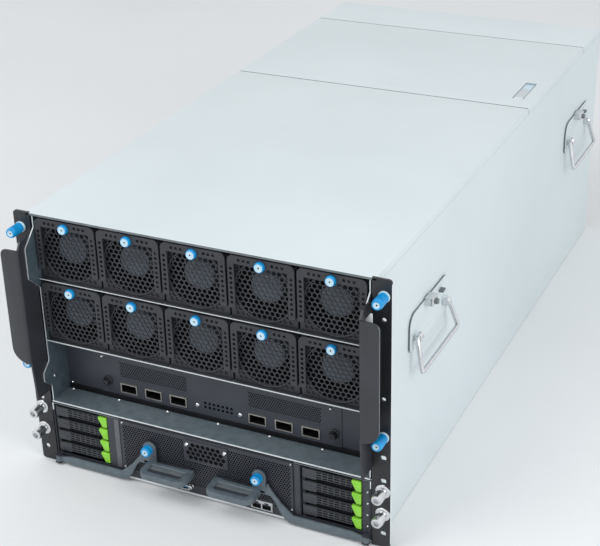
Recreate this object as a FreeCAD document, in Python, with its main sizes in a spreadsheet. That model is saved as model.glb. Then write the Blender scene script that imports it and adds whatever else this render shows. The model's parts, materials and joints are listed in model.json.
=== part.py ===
import FreeCAD, Part
import math
import os
import re

import Sketcher

# Eight-unit rack server for accelerator cards.
# A folded steel shell carries a large sliding tray above (fan wall, port panel, accelerator board)
# and a flat sliding sled below (drives, vents, two locking levers).
# X runs to the right seen from the front, Y runs back into the rack, Z runs up.
# The origin is the centre of the base: mid width, mid depth, underside of the shell.

FAN_COLUMNS = 5
FAN_ROWS = 2
DRIVE_ROWS = 4
DRIVE_COLUMNS = 2
BLADES = 7
GUARD_CELLS = 8

# Round pieces that repeat many times are drawn with a few flat sides.
KNOB_SIDES = 12
WIRE_SIDES = 12
PIN_SIDES = 8
BORE_SIDES = 24
HUB_SIDES = 2 * BLADES
SUPPLY_COUNT = 6
SINK_COLUMNS = 4
MESH_SLOTS = 5
REAR_SLOTS = 4

# Side of a regular hexagon as a share of its width across flats.
HEX_SIDE = 3 ** -0.5

# Driving sizes in millimetres; angles in degrees.
SIZES = {
    # Shell and covers
    "ear_span": 482.6,
    "ear_reach": 17.8,
    "body_height": 351.0,
    "body_depth": 945.0,
    "sheet": 1.5,
    "ledge_width": 10.0,
    "tongue_lap": 12.0,
    "cover_sheet": 1.2,
    "cover_lip": 9.0,
    "front_lip": 3.4,
    "seam_gap": 0.4,
    "front_seam": 553.0,
    "rear_seam": 844.0,
    # Rack ears and their screws
    "ear_lap": 5.0,
    "ear_sheet": 3.0,
    "ear_corner": 4.0,
    "ear_flange": 27.0,
    "ear_flange_low": 100.0,
    "ear_flange_drop": 26.0,
    "ear_hole_inset": 8.75,
    "ear_knob_drop": 20.6,
    "rack_unit": 44.45,
    "rack_first_hole": 6.35,
    "rack_hole_step": 15.875,
    "rack_offset": 3.0,
    "ear_hole": 8.8,
    "stud_size": 6.0,
    "stud_length": 14.0,
    "rack_knob": 14.0,
    "rack_knob_length": 22.0,
    "rack_flange": 18.0,
    "rack_flange_sheet": 2.0,
    "ear_knob": 13.0,
    "ear_knob_length": 22.0,
    # Accelerator tray
    "slide_clear": 0.3,
    "tray_gap": 5.5,
    "tray_sheet": 1.5,
    "tray_edge": 1.5,
    "tray_length": 560.0,
    "shelf_top": 92.0,
    "shelf_sheet": 2.0,
    "upper_tab_reach": 19.0,
    "upper_tab_tall": 80.0,
    "upper_tab_drop": 14.6,
    "lower_tab_reach": 12.0,
    "lower_tab_low": 113.0,
    "lower_tab_high": 149.0,
    "tab_slope": 20.0,
    "lower_tab_slope": 12.0,
    "divider_sheet": 1.2,
    "fan_bay": 74.0,
    # Tray handles
    "handle_sheet": 2.5,
    "handle_reach": 34.0,
    "handle_width": 24.5,
    "handle_low": 162.0,
    "handle_drop": 36.0,
    "handle_corner": 8.0,
    "web_low": 108.0,
    "web_slope": 9.0,
    "web_gap": 1.0,
    # Fan modules
    "fan_floor": 179.0,
    "fan_seat": 0.3,
    "fan_margin": 1.0,
    "fan_gap": 2.0,
    "fan_depth": 64.0,
    "fan_recess": 4.0,
    "fan_wall": 3.0,
    "frame_side": 9.0,
    "frame_top": 8.0,
    "frame_deep": 6.0,
    "guard_sheet": 1.2,
    "guard_cell": 15.0,
    "guard_margin": 14.5,
    "tip_gap": 1.0,
    "rotor_hub": 38.0,
    "rotor_front": 13.0,
    "blade_sheet": 1.6,
    "blade_chord": 27.0,
    "blade_pitch": 45.0,
    "blade_centre": 28.0,
    "blade_root": 3.0,
    "motor_sheet": 6.0,
    "strut_width": 8.0,
    "strut_lap": 1.0,
    "shaft_size": 4.0,
    "shaft_clear": 0.1,
    "rotor_gap": 0.4,
    "fan_knob": 12.4,
    "fan_knob_length": 9.0,
    "fan_knob_drop": 9.5,
    # Port panel behind the shelf
    "panel_recess": 39.0,
    "panel_sheet": 1.5,
    "panel_gap": 0.2,
    "insert_margin": 50.0,
    "insert_sheet": 1.0,
    "port_first": 54.5,
    "port_pitch": 35.3,
    "port_height": 108.4,
    "port_width": 23.6,
    "port_tall": 13.6,
    "port_wall": 1.6,
    "port_deep": 45.0,
    "port_lip": 1.2,
    "vent_low": 127.5,
    "vent_tall": 18.5,
    "vent_slot": 11.0,
    "vent_pitch": 18.0,
    # Accelerator board
    "board_margin": 10.0,
    "board_start": 92.0,
    "board_length": 440.0,
    "board_sheet": 2.4,
    "board_rise": 6.0,
    "standoff_size": 8.0,
    "sink_gap": 14.0,
    "sink_length": 150.0,
    "sink_height": 130.0,
    "sink_margin": 9.0,
    "sink_pitch_y": 190.0,
    "sink_slot": 12.0,
    "sink_base": 14.0,
    # Head node sled
    "node_gap": 4.5,
    "node_sheet": 1.2,
    "node_edge": 1.0,
    "node_length": 560.0,
    "sill_high": 14.3,
    "pillar_deep": 12.0,
    "bay_deep": 125.0,
    "mid_post": 9.0,
    "right_post": 9.8,
    "face_gap": 0.5,
    "face_sheet": 1.2,
    "centre_half": 27.0,
    "centre_low": 30.0,
    "centre_drop": 9.9,
    "centre_hole": 12.0,
    "centre_pitch": 17.0,
    "mesh_web": 6.0,
    "mesh_margin": 11.5,
    "mesh_low": 24.0,
    "mesh_drop": 5.9,
    "jack_low": 8.0,
    "jack_tall": 13.0,
    "jack_start": 61.0,
    "jack_width": 29.0,
    "jack_hole": 11.0,
    "jack_wall": 2.0,
    "usb_start": 36.0,
    "usb_width": 15.0,
    "usb_tall": 7.0,
    # Sled levers
    "pivot_inset": 4.5,
    "lever_pivot_y": 4.0,
    "lever_barrel": 8.0,
    "lever_pin": 3.2,
    "pin_clear": 0.2,
    "lug_sheet": 1.8,
    "lug_gap": 0.3,
    "strap_sheet": 4.0,
    "strap_low": 4.2,
    "strap_high": 12.0,
    "ramp_gap": 7.5,
    "ramp_run": 28.0,
    "tab_offset": 16.7,
    "tab_centre_z": 59.0,
    "tab_size": 18.0,
    "grip_start": 14.0,
    "grip_reach": 34.0,
    "grip_low": 35.5,
    "grip_high": 41.5,
    "grip_band": 8.0,
    "grip_corner": 9.0,
    "lever_knob": 13.0,
    "lever_knob_length": 10.0,
    # Drives
    "drive_width": 78.0,
    "drive_row_gap": 1.2,
    "drive_head": 2.9,
    "drive_base": 14.6,
    "drive_deep": 100.0,
    "drive_clear": 0.5,
    "drive_wall": 1.5,
    "disk_gap": 0.2,
    "bezel_deep": 6.2,
    "hinge_x": 3.2,
    "hinge_pin": 2.0,
    "hinge_lug": 1.5,
    "bezel_sheet": 4.0,
    "bezel_inset": 1.0,
    "latch_width": 13.0,
    "latch_margin": 1.2,
    # Side carrying handles
    "bracket_width": 130.0,
    "bracket_low": 206.0,
    "bracket_high": 254.0,
    "bracket_sheet": 2.5,
    "bracket_corner": 10.0,
    "front_bracket": 162.0,
    "rear_bracket": 823.0,
    "lug_size": 12.0,
    "lug_offset": 4.5,
    "lug_height": 222.0,
    "lug_inner": 45.0,
    "lug_thick": 5.5,
    "bail_wire": 6.0,
    "bail_clear": 0.2,
    "bail_gap": 0.5,
    "bail_spread": 8.0,
    "bail_drop": 40.0,
    "bail_tilt": 15.0,
    # Cover latch
    "latch_start": 585.0,
    "latch_length": 70.0,
    "latch_inset": 34.0,
    "latch_span": 15.5,
    "cup_deep": 9.0,
    "cup_sheet": 1.0,
    "flap_gap": 0.8,
    "flap_sheet": 3.0,
    "flap_drop": 0.4,
    "flap_sink": 1.0,
    "flap_barrel": 5.0,
    "flap_pin": 2.4,
    # Rear wall and power supplies
    "supply_width": 40.0,
    "supply_tall": 74.0,
    "supply_long": 200.0,
    "supply_pitch": 42.5,
    "supply_margin": 11.0,
    "supply_gap": 0.5,
    "supply_grip": 18.0,
    "grip_bar": 4.0,
    "grip_tall": 40.0,
    "rear_vent_low": 104.0,
    "rear_vent_top": 19.4,
    "rear_vent_gap": 18.0,
    "rear_vent_web": 18.0,
    "rear_vent_margin": 47.5,
}

# Places worked out from the driving sizes.
PLACES = {
    "front_y": "-body_depth / 2",
    "rear_y": "body_depth / 2",
    "body_width": "ear_span - 2 * ear_reach",
    "half_body": "body_width / 2",
    "wall_in": "half_body - sheet",
    "wall_top": "body_height - cover_lip - seam_gap",
    "tongue_top": "body_height - cover_sheet - seam_gap",
    "ledge_top": "shelf_top - shelf_sheet - slide_clear",
    "ledge_low": "ledge_top - sheet",
    "ear_inner": "half_body - ear_lap",
    "ear_flange_high": "body_height - ear_flange_drop",
    "rack_x": "ear_span / 2 - ear_hole_inset",
    "stud_low": "rack_unit + rack_first_hole - rack_offset",
    "stud_high": "stud_low + 2 * rack_hole_step",
    "knob_high": "body_height - ear_knob_drop",
    "knob_low": "knob_high - 4 * rack_unit",
    "shelf_low": "shelf_top - shelf_sheet",
    "tray_front": "front_y + tray_edge",
    "tray_half": "wall_in - tray_gap",
    "tray_in": "tray_half - tray_sheet",
    "upper_tab_high": "tray_top - upper_tab_drop",
    "upper_tab_low": "upper_tab_high - upper_tab_tall",
    "tray_top": "fan_floor + 2 * fan_pitch_z - 2 * divider_sheet",
    "fan_face": "front_y + fan_recess",
    "fan_top": "body_height - front_lip - slide_clear",
    "fan_pitch_z": "(fan_top - fan_floor - fan_seat + fan_gap) / %d" % FAN_ROWS,
    "fan_pitch_x": "2 * (tray_in - fan_margin) / %d" % FAN_COLUMNS,
    "fan_height": "fan_pitch_z - fan_gap",
    "fan_width": "fan_pitch_x - fan_gap",
    "fan_half": "fan_width / 2",
    "fan_tall": "fan_height / 2",
    "fan_bore": "min(fan_width; fan_height) - 2 * fan_wall",
    "rotor_tip": "fan_bore - 2 * tip_gap",
    "guard_ring": "fan_bore - 2 * guard_margin",
    "motor_face": "fan_depth - motor_sheet",
    "handle_face": "front_y - handle_reach",
    "handle_high": "body_height - handle_drop",
    "insert_half": "tray_in - insert_margin",
    "board_half": "tray_in - board_margin",
    "sink_pitch_x": "2 * (board_half - sink_margin) / %d" % SINK_COLUMNS,
    "sink_width": "sink_pitch_x - sink_gap",
    "panel_y": "front_y + panel_recess",
    "node_base": "sheet + slide_clear",
    "node_top": "ledge_low - slide_clear",
    "node_front": "front_y + node_edge",
    "node_half": "wall_in - node_gap",
    "node_in": "node_half - node_sheet",
    "drive_pitch": "(node_top - node_sheet - drive_head - drive_base + drive_row_gap) / %d" % DRIVE_ROWS,
    "drive_height": "drive_pitch - drive_row_gap",
    "right_bay": "node_in - right_post - drive_width - 2 * drive_clear",
    "left_pillar": "right_bay - mid_post",
    "face_half": "left_pillar - face_gap",
    "centre_high": "node_top - centre_drop",
    "mesh_high": "node_top - mesh_drop",
    "mesh_pitch": "(face_half - centre_half - 2 * mesh_margin) / %d" % (MESH_SLOTS - 1),
    "mesh_slot": "mesh_pitch - mesh_web",
    "lever_pivot_x": "node_half - pivot_inset",
    "ramp_start": "right_bay - ramp_gap",
    "ramp_end": "ramp_start - ramp_run",
    "tab_centre_x": "ramp_end - tab_offset",
    "lever_y": "front_y - lever_pivot_y",
    "strap_front": "lever_y - strap_sheet / 2",
    "strap_rear": "lever_y + strap_sheet / 2",
    "grip_end": "tab_centre_x - tab_size / 2 + strap_sheet",
    "left_bay": "-node_in + drive_clear",
    "left_pillar_out": "left_bay + drive_width + drive_clear",
    "right_pillar_in": "right_bay + drive_width + 2 * drive_clear",
    "lug_x": "half_body + bracket_sheet + lug_offset",
    "lug_outer": "lug_inner + lug_thick",
    "arm_y": "lug_outer + bail_gap + bail_wire / 2",
    "latch_y": "front_y + latch_start",
    "latch_inner": "half_body - latch_inset",
    "latch_outer": "latch_inner + latch_span",
    "flap_axis_z": "body_height - flap_drop - flap_sheet / 2 - flap_sink",
    "flap_axis_y": "latch_y + flap_gap + flap_barrel / 2",
    "supply_low": "sheet + supply_gap",
    "supply_start": "wall_in - supply_margin - 2 * supply_pitch - supply_width",
    "rear_vent_tall": "(tongue_top - rear_vent_low - rear_vent_top - rear_vent_gap) / 2",
    "rear_vent_pitch_z": "rear_vent_tall + rear_vent_gap",
    "rear_vent_pitch": "(half_body - rear_vent_margin) / %d" % REAR_SLOTS,
    "rear_vent_slot": "rear_vent_pitch - rear_vent_web",
    "hinge_y": "bezel_inset + bezel_sheet / 2",
    "blade_tip": "sqrt((rotor_tip / 2) ^ 2 - (blade_chord / 2 * cos(blade_pitch)) ^ 2)",
}

WORD = re.compile(r"[a-z][a-z_0-9]*")
FUNCTIONS = ("sqrt", "cos", "min")

doc = FreeCAD.newDocument("GpuServer")
sheet = doc.addObject("Spreadsheet::Sheet", "Sizes")
for row, (alias, number) in enumerate(SIZES.items(), 1):
    sheet.set("A%d" % row, alias)
    sheet.set("B%d" % row, str(number))
    sheet.setAlias("B%d" % row, alias)
doc.recompute()

nodes = []


def formula(text):
    """Spell a formula of named sizes and places in the words of the sheet."""
    def spell(match):
        word = match.group(0)
        if word in PLACES:
            return "(" + formula(PLACES[word]) + ")"
        if word in SIZES:
            return "Sizes." + word
        if word in FUNCTIONS:
            return word
        raise ValueError("unknown size: " + word)
    return WORD.sub(spell, str(text))


def number(text):
    """Present value of a formula."""
    return float(sheet.evalExpression(formula(text)))


def bind(thing, slot, text):
    """Tie one property of an object to a formula."""
    thing.setExpression(slot, formula(text))


def move(thing, x="0", y="0", z="0"):
    """Tie the place of an object to formulas."""
    for axis, text in zip("xyz", (x, y, z)):
        bind(thing, "Placement.Base." + axis, text)
    return thing


def block(name, x, y, z):
    """Cuboid between pairs of limits along the three axes."""
    solid = doc.addObject("Part::Box", name)
    for side, (low, high) in zip(("Length", "Width", "Height"), (x, y, z)):
        bind(solid, side, "(%s) - (%s)" % (high, low))
    return move(solid, x[0], y[0], z[0])


TURN = {
    "x": FreeCAD.Rotation(FreeCAD.Vector(0, 1, 0), 90),
    "y": FreeCAD.Rotation(FreeCAD.Vector(1, 0, 0), -90),
    "z": FreeCAD.Rotation(),
}


def rod(name, along, start, size, length):
    """Round bar of a given diameter from a start point along one axis."""
    solid = doc.addObject("Part::Cylinder", name)
    solid.Placement = FreeCAD.Placement(FreeCAD.Vector(), TURN[along])
    bind(solid, "Radius", "(%s) / 2" % size)
    bind(solid, "Height", length)
    return move(solid, *start)


def prism(name, sides, along, start, size, length):
    """Many-sided bar with a given width across its corners, from a start point along one axis."""
    solid = doc.addObject("Part::Prism", name)
    solid.Polygon = sides
    solid.Placement = FreeCAD.Placement(FreeCAD.Vector(), TURN[along])
    bind(solid, "Circumradius", "(%s) / 2" % size)
    bind(solid, "Height", length)
    return move(solid, *start)


def around(count):
    """Cosine and sine of equal steps round a circle, the first half a step from zero."""
    angles = [2 * math.pi * (index + 0.5) / count for index in range(count)]
    return [(math.cos(angle), math.sin(angle)) for angle in angles]


def joined(name, pieces):
    """One solid from pieces that meet."""
    solid = doc.addObject("Part::MultiFuse", name)
    solid.Shapes = pieces
    solid.Refine = True
    return solid


def cut(name, base, tools):
    """A solid with the tools taken out of it."""
    tool = tools[0]
    if len(tools) > 1:
        tool = doc.addObject("Part::MultiFuse", name + "_tools")
        tool.Shapes = tools
    solid = doc.addObject("Part::Cut", name)
    solid.Base = base
    solid.Tool = tool
    return solid


def mirrored(name, source):
    """The same piece on the other side of the middle plane."""
    solid = doc.addObject("Part::Mirroring", name)
    solid.Source = source
    solid.Base = FreeCAD.Vector()
    solid.Normal = FreeCAD.Vector(1, 0, 0)
    return solid


def node(label, pieces, x="0", y="0", z="0"):
    """Named sub-part: one or more separate solids at a tied place."""
    group = doc.addObject("Part::Compound", label)
    group.Label = label
    group.Links = pieces
    move(group, x, y, z)
    nodes.append(group)
    return group


PLANE_AXES = {"XY": (0, 1), "XZ": (0, 2), "YZ": (1, 2)}


def sketch_on(body, plane, name, offset):
    """Sketch on one of the body's own origin planes, shifted along its normal."""
    sketch = body.newObject("Sketcher::SketchObject", name)
    wanted = plane + "_Plane"
    support = [item for item in body.Origin.OriginFeatures if item.Role == wanted][0]
    sketch.AttachmentSupport = [(support, "")]
    sketch.MapMode = "FlatFace"
    bind(sketch, "AttachmentOffset.Base.z", offset)
    return sketch


def hold(sketch, line, corner):
    """Tie the first point of a line to a pair of formulas."""
    for kind, text, axis in zip(("DistanceX", "DistanceY"), corner, (-2, -1)):
        if text == "0":
            sketch.addConstraint(Sketcher.Constraint("PointOnObject", line, 1, axis))
            continue
        index = sketch.addConstraint(Sketcher.Constraint(kind, -1, 1, line, 1, number(text)))
        bind(sketch, "Constraints[%d]" % index, text)


def draw_outline(sketch, outline):
    """Closed polygon whose corners are pairs of formulas."""
    spots = [FreeCAD.Vector(number(u), number(v), 0) for u, v in outline]
    count = len(spots)
    for index in range(count):
        sketch.addGeometry(Part.LineSegment(spots[index], spots[(index + 1) % count]), False)
    for index in range(count):
        follower = (index + 1) % count
        sketch.addConstraint(Sketcher.Constraint("Coincident", index, 2, follower, 1))
    for index, corner in enumerate(outline):
        hold(sketch, index, corner)


def plate(name, plane, outline, limits):
    """Body padded from a polygon between two limits along the plane's normal."""
    low, high = limits
    body = doc.addObject("PartDesign::Body", name)
    offset = "-(%s)" % high if plane == "XZ" else low
    sketch = sketch_on(body, plane, name + "_outline", offset)
    draw_outline(sketch, outline)
    pad = body.newObject("PartDesign::Pad", name + "_pad")
    pad.Profile = sketch
    bind(pad, "Length", "(%s) - (%s)" % (high, low))
    doc.recompute()
    return body


def round_corners(body, plane, corners, radius):
    """Fillet the padded edges that stand on the given corners of the outline."""
    first, second = PLANE_AXES[plane]
    spots = [(number(u), number(v)) for u, v in corners]
    padded = body.Tip
    picked = []
    for index, edge in enumerate(padded.Shape.Edges, 1):
        ends = [(end.Point[first], end.Point[second]) for end in edge.Vertexes]
        for u, v in spots:
            if all(abs(end[0] - u) + abs(end[1] - v) < 0.01 for end in ends):
                picked.append("Edge%d" % index)
    fillet = body.newObject("PartDesign::Fillet", body.Name + "_round")
    fillet.Base = (padded, picked)
    bind(fillet, "Radius", radius)
    doc.recompute()
    return body


def build_shell():
    """Folded floor and side walls with a tongue under the covers, and a rail along each wall."""
    right = [
        ("half_body", "0"),
        ("half_body", "wall_top"),
        ("wall_in", "wall_top"),
        ("wall_in", "tongue_top"),
        ("wall_in - sheet", "tongue_top"),
        ("wall_in - sheet", "wall_top - tongue_lap"),
        ("wall_in", "wall_top - tongue_lap"),
        ("wall_in", "sheet"),
    ]
    left = [("-(%s)" % u, v) for u, v in reversed(right)]
    limits = ("front_y + ear_sheet", "rear_y - sheet")
    rail = block("rail", ("wall_in - ledge_width", "wall_in"), limits, ("ledge_low", "ledge_top"))
    node("chassis_shell", [plate("shell", "XZ", right + left, limits), rail, mirrored("rail_left", rail)])


def cover_profile():
    """Top sheet with a lip folded down each side."""
    right = [
        ("half_body", "body_height - cover_lip"),
        ("half_body", "body_height"),
    ]
    inner = [
        ("half_body - cover_sheet", "body_height - cover_sheet"),
        ("half_body - cover_sheet", "body_height - cover_lip"),
    ]
    return (right + [("-(%s)" % u, v) for u, v in reversed(right)]
            + [("-(%s)" % u, v) for u, v in reversed(inner)] + inner)


def build_covers():
    """Three top covers, the front one with a lip between the ears."""
    front = plate("front_sheet", "XZ", cover_profile(),
                  ("front_y + ear_sheet", "front_y + front_seam"))
    span = ("-tray_half", "tray_half")
    bridge = block("front_bridge", span, ("front_y", "front_y + ear_sheet"),
                   ("body_height - cover_sheet", "body_height"))
    lip = block("front_lip", span, ("front_y", "front_y + cover_sheet"),
                ("body_height - front_lip", "body_height - cover_sheet"))
    node("front_top_cover", [joined("front_cover", [front, bridge, lip])])

    middle = plate("middle_sheet", "XZ", cover_profile(),
                   ("front_y + front_seam + seam_gap", "front_y + rear_seam"))
    mouth_x = ("latch_inner", "latch_outer")
    mouth_y = ("latch_y", "latch_y + latch_length")
    cup = block("latch_cup_block", ("latch_inner - cup_sheet", "latch_outer + cup_sheet"),
                ("latch_y - cup_sheet", "latch_y + latch_length + cup_sheet"),
                ("body_height - cup_deep", "body_height - cover_sheet"))
    hollow = block("latch_hollow", mouth_x, mouth_y,
                   ("body_height - cup_deep + cup_sheet", "body_height + cup_sheet"))
    pin_hole = prism("latch_pin_hole", PIN_SIDES, "x",
                     ("latch_inner - 2 * cup_sheet", "flap_axis_y", "flap_axis_z"),
                     "(flap_pin + pin_clear) / %.7f" % math.cos(math.pi / PIN_SIDES),
                     "latch_span + 4 * cup_sheet")
    node("middle_top_cover",
         [cut("middle_cover", joined("middle_with_cup", [middle, cup]), [hollow, pin_hole])])

    rear = plate("rear_sheet", "XZ", cover_profile(),
                 ("front_y + rear_seam + seam_gap", "rear_y"))
    node("rear_top_cover", [rear])

    flap = block("flap", ("latch_inner + flap_gap", "latch_outer - flap_gap"),
                 ("flap_axis_y", "latch_y + latch_length - flap_gap"),
                 ("body_height - flap_drop - flap_sheet", "body_height - flap_drop"))
    barrel = prism("flap_barrel", KNOB_SIDES, "x", ("latch_inner + flap_gap", "flap_axis_y", "flap_axis_z"),
                 "flap_barrel", "latch_span - 2 * flap_gap")
    pin = prism("flap_pin", PIN_SIDES, "x", ("latch_inner - cup_sheet", "flap_axis_y", "flap_axis_z"),
              "flap_pin", "latch_span + 2 * cup_sheet")
    node("cover_latch", [joined("latch_flap", [flap, barrel, pin])])


def build_ears():
    """Pair of rack ears with the captive screws that hold the unit in its rack."""
    outline = [
        ("ear_inner", "0"),
        ("ear_span / 2", "0"),
        ("ear_span / 2", "body_height"),
        ("ear_inner", "body_height"),
    ]
    face = plate("ear_face", "XZ", outline, ("front_y", "front_y + ear_sheet"))
    round_corners(face, "XZ", outline[1:3], "ear_corner")
    flange = block("ear_fold", ("wall_in - ear_sheet", "wall_in"),
                   ("front_y + ear_sheet", "front_y + ear_sheet + ear_flange"),
                   ("ear_flange_low", "ear_flange_high"))
    heights = ("stud_low", "stud_high", "knob_low", "knob_high")
    holes = [block("ear_hole_%d" % index, ("rack_x - ear_hole / 2", "rack_x + ear_hole / 2"),
                   ("front_y - ear_sheet", "front_y + 2 * ear_sheet"),
                   (height + " - ear_hole / 2", height + " + ear_hole / 2"))
             for index, height in enumerate(heights)]
    right = cut("right_ear", joined("ear_bent", [face, flange]), holes)
    node("rack_ears", [right, mirrored("left_ear", right)])

    origin = ("0", "0", "0")
    shank = rod("screw_shank", "y", origin, "stud_size", "ear_sheet + stud_length")
    screw = joined("rack_screw", [
        prism("rack_screw_head", KNOB_SIDES, "y", ("0", "-rack_knob_length", "0"), "rack_knob",
              "rack_knob_length - rack_flange_sheet"),
        prism("rack_screw_flange", KNOB_SIDES, "y", ("0", "-rack_flange_sheet", "0"), "rack_flange",
              "rack_flange_sheet"),
        shank,
    ])
    knob = joined("ear_screw", [
        prism("ear_screw_head", KNOB_SIDES, "y", ("0", "-ear_knob_length", "0"), "ear_knob",
              "ear_knob_length"),
        shank,
    ])
    for label, source, levels in (("rack_screws", screw, heights[:2]),
                                  ("ear_thumbscrews", knob, heights[2:])):
        copies = []
        for side in ("-rack_x", "rack_x"):
            for height in levels:
                copy = doc.addObject("Part::Compound", "%s_%d" % (label, len(copies) + 1))
                copy.Links = [source]
                copies.append(move(copy, side, "front_y", height))
        node(label, copies)


def tray_side():
    """Side plate of the tray, its front edge drawn forward into two handle tabs."""
    def forward(reach):
        return "front_y - %s" % reach
    outline = [
        ("tray_front", "shelf_low"),
        ("tray_front", "lower_tab_low"),
        (forward("lower_tab_reach"), "lower_tab_low + lower_tab_slope"),
        (forward("lower_tab_reach"), "lower_tab_high - lower_tab_slope"),
        ("tray_front", "lower_tab_high"),
        ("tray_front", "upper_tab_low"),
        (forward("upper_tab_reach"), "upper_tab_low + tab_slope"),
        (forward("upper_tab_reach"), "upper_tab_high - tab_slope"),
        ("tray_front", "upper_tab_high"),
        ("tray_front", "tray_top"),
        ("tray_front + tray_length", "tray_top"),
        ("tray_front + tray_length", "shelf_low"),
    ]
    return plate("tray_side", "YZ", outline, ("tray_in", "tray_half"))


def build_tray():
    """Accelerator tray: shelf, side plates and the two floors of the fan wall."""
    side = tray_side()
    floor = block("tray_floor", ("-tray_half", "tray_half"),
                  ("front_y", "tray_front + tray_length"), ("shelf_low", "shelf_top"))
    across = ("-tray_in", "tray_in")
    bay = ("tray_front", "tray_front + fan_bay")
    shelf = block("fan_shelf", across, bay, ("fan_floor - tray_sheet", "fan_floor"))
    divider_top = "fan_floor + fan_pitch_z"
    divider = block("fan_divider", across, bay,
                    (divider_top + " - divider_sheet", divider_top))
    pieces = [side, mirrored("tray_side_left", side), floor, shelf, divider]
    node("gpu_tray", [joined("tray", pieces)])

    face_outline = [
        ("tray_half", "handle_low"),
        ("tray_half + handle_width", "handle_low"),
        ("tray_half + handle_width", "handle_high"),
        ("tray_half", "handle_high"),
    ]
    face = plate("handle_flange", "XZ", face_outline, ("handle_face", "handle_face + handle_sheet"))
    round_corners(face, "XZ", face_outline[1:3], "handle_corner")
    root = "front_y - web_gap"
    web_outline = [
        ("handle_face", "web_low + web_slope"),
        ("handle_face + web_slope", "web_low"),
        (root, "web_low"),
        (root, "handle_high + web_slope"),
        ("handle_face + web_slope", "handle_high + web_slope"),
        ("handle_face", "handle_high"),
    ]
    web = plate("handle_web", "YZ", web_outline, ("tray_half", "tray_half + handle_sheet"))
    handle = joined("right_handle", [face, web])
    node("tray_handles", [handle, mirrored("left_handle", handle)])


def build_port_panel():
    """Recessed panel with six cage openings, two vents and the cages themselves."""
    limits_z = ("shelf_top + panel_gap", "fan_floor - tray_sheet - panel_gap")
    back = block("panel_back", ("-tray_in + panel_gap", "tray_in - panel_gap"),
                 ("panel_y", "panel_y + panel_sheet"), limits_z)
    insert = block("panel_insert", ("-insert_half", "insert_half"),
                   ("panel_y - insert_sheet", "panel_y"), limits_z)
    through = ("panel_y - 2 * insert_sheet", "panel_y + 2 * panel_sheet")
    tools = []
    cages = []
    for side in (-1, 1):
        for place in range(3):
            centre = "%d * (port_first + %d * port_pitch)" % (side, place)
            name = "port_%d" % (len(cages) + 1)

            def spread(inset, middle=centre):
                return ("%s - port_width / 2 + (%s)" % (middle, inset),
                        "%s + port_width / 2 - (%s)" % (middle, inset))

            def rise(inset):
                return ("port_height - port_tall / 2 + (%s)" % inset,
                        "port_height + port_tall / 2 - (%s)" % inset)

            tools.append(block(name + "_opening", spread("port_wall - panel_gap"), through,
                               rise("port_wall - panel_gap")))
            lip = block(name + "_lip", spread("0"),
                        ("panel_y - insert_sheet - port_lip", "panel_y - insert_sheet"), rise("0"))
            tube = block(name + "_tube", spread("port_wall"),
                         ("panel_y - insert_sheet", "panel_y + port_deep"), rise("port_wall"))
            hole = block(name + "_hole", spread("2 * port_wall"),
                         ("panel_y - 2 * insert_sheet - port_lip", "panel_y + port_deep - port_wall"),
                         rise("2 * port_wall"))
            cages.append(cut(name, joined(name + "_cage", [lip, tube]), [hole]))
        for slot in range(5):
            start = "%d * (port_first + %d * vent_pitch) - vent_slot / 2" % (side, slot)
            tools.append(block("vent_%d_%d" % (side + 1, slot), (start, start + " + vent_slot"),
                               through, ("vent_low", "vent_low + vent_tall")))
    node("io_panel", [cut("panel", joined("panel_sheet_pair", [back, insert]), tools)])
    node("port_cages", cages)


def build_board():
    """Accelerator board on standoffs, with eight slotted heat sinks."""
    low = "shelf_top + board_rise"
    start = "front_y + board_start"
    pieces = [block("board_sheet", ("-board_half", "board_half"),
                    (start, start + " + board_length"), (low, low + " + board_sheet"))]
    for side in (-1, 1):
        for end in ("standoff_size", "board_length / 2", "board_length - standoff_size"):
            middle = "%d * (board_half - standoff_size)" % side
            pieces.append(block("standoff_%d" % len(pieces),
                                (middle + " - standoff_size / 2", middle + " + standoff_size / 2"),
                                ("%s + %s - standoff_size / 2" % (start, end),
                                 "%s + %s + standoff_size / 2" % (start, end)),
                                ("shelf_top", low)))
    top = low + " + board_sheet"
    block_x = ("-sink_width / 2", "sink_width / 2")
    sink = block("sink_block", block_x, ("0", "sink_length"), ("0", "sink_height"))
    slots = []
    for place in range(-1, 2):
        middle = "%d * 2 * sink_slot" % place
        slots.append(block("sink_slot_%d" % (place + 1), (middle + " - sink_slot / 2",
                                                         middle + " + sink_slot / 2"),
                           ("-sink_slot", "sink_length + sink_slot"),
                           ("sink_base", "sink_height + sink_slot")))
    finned = cut("sink_finned", sink, slots)
    sinks = []
    for column in range(SINK_COLUMNS):
        for row in range(2):
            copy = doc.addObject("Part::Compound", "sink_%d" % (len(sinks) + 1))
            copy.Links = [finned]
            sinks.append(move(copy, "%.1f * sink_pitch_x" % (column - (SINK_COLUMNS - 1) / 2),
                              "%s + 3 * standoff_size + %d * sink_pitch_y" % (start, row), top))
    node("gpu_board", [joined("board", pieces)] + sinks)


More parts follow.
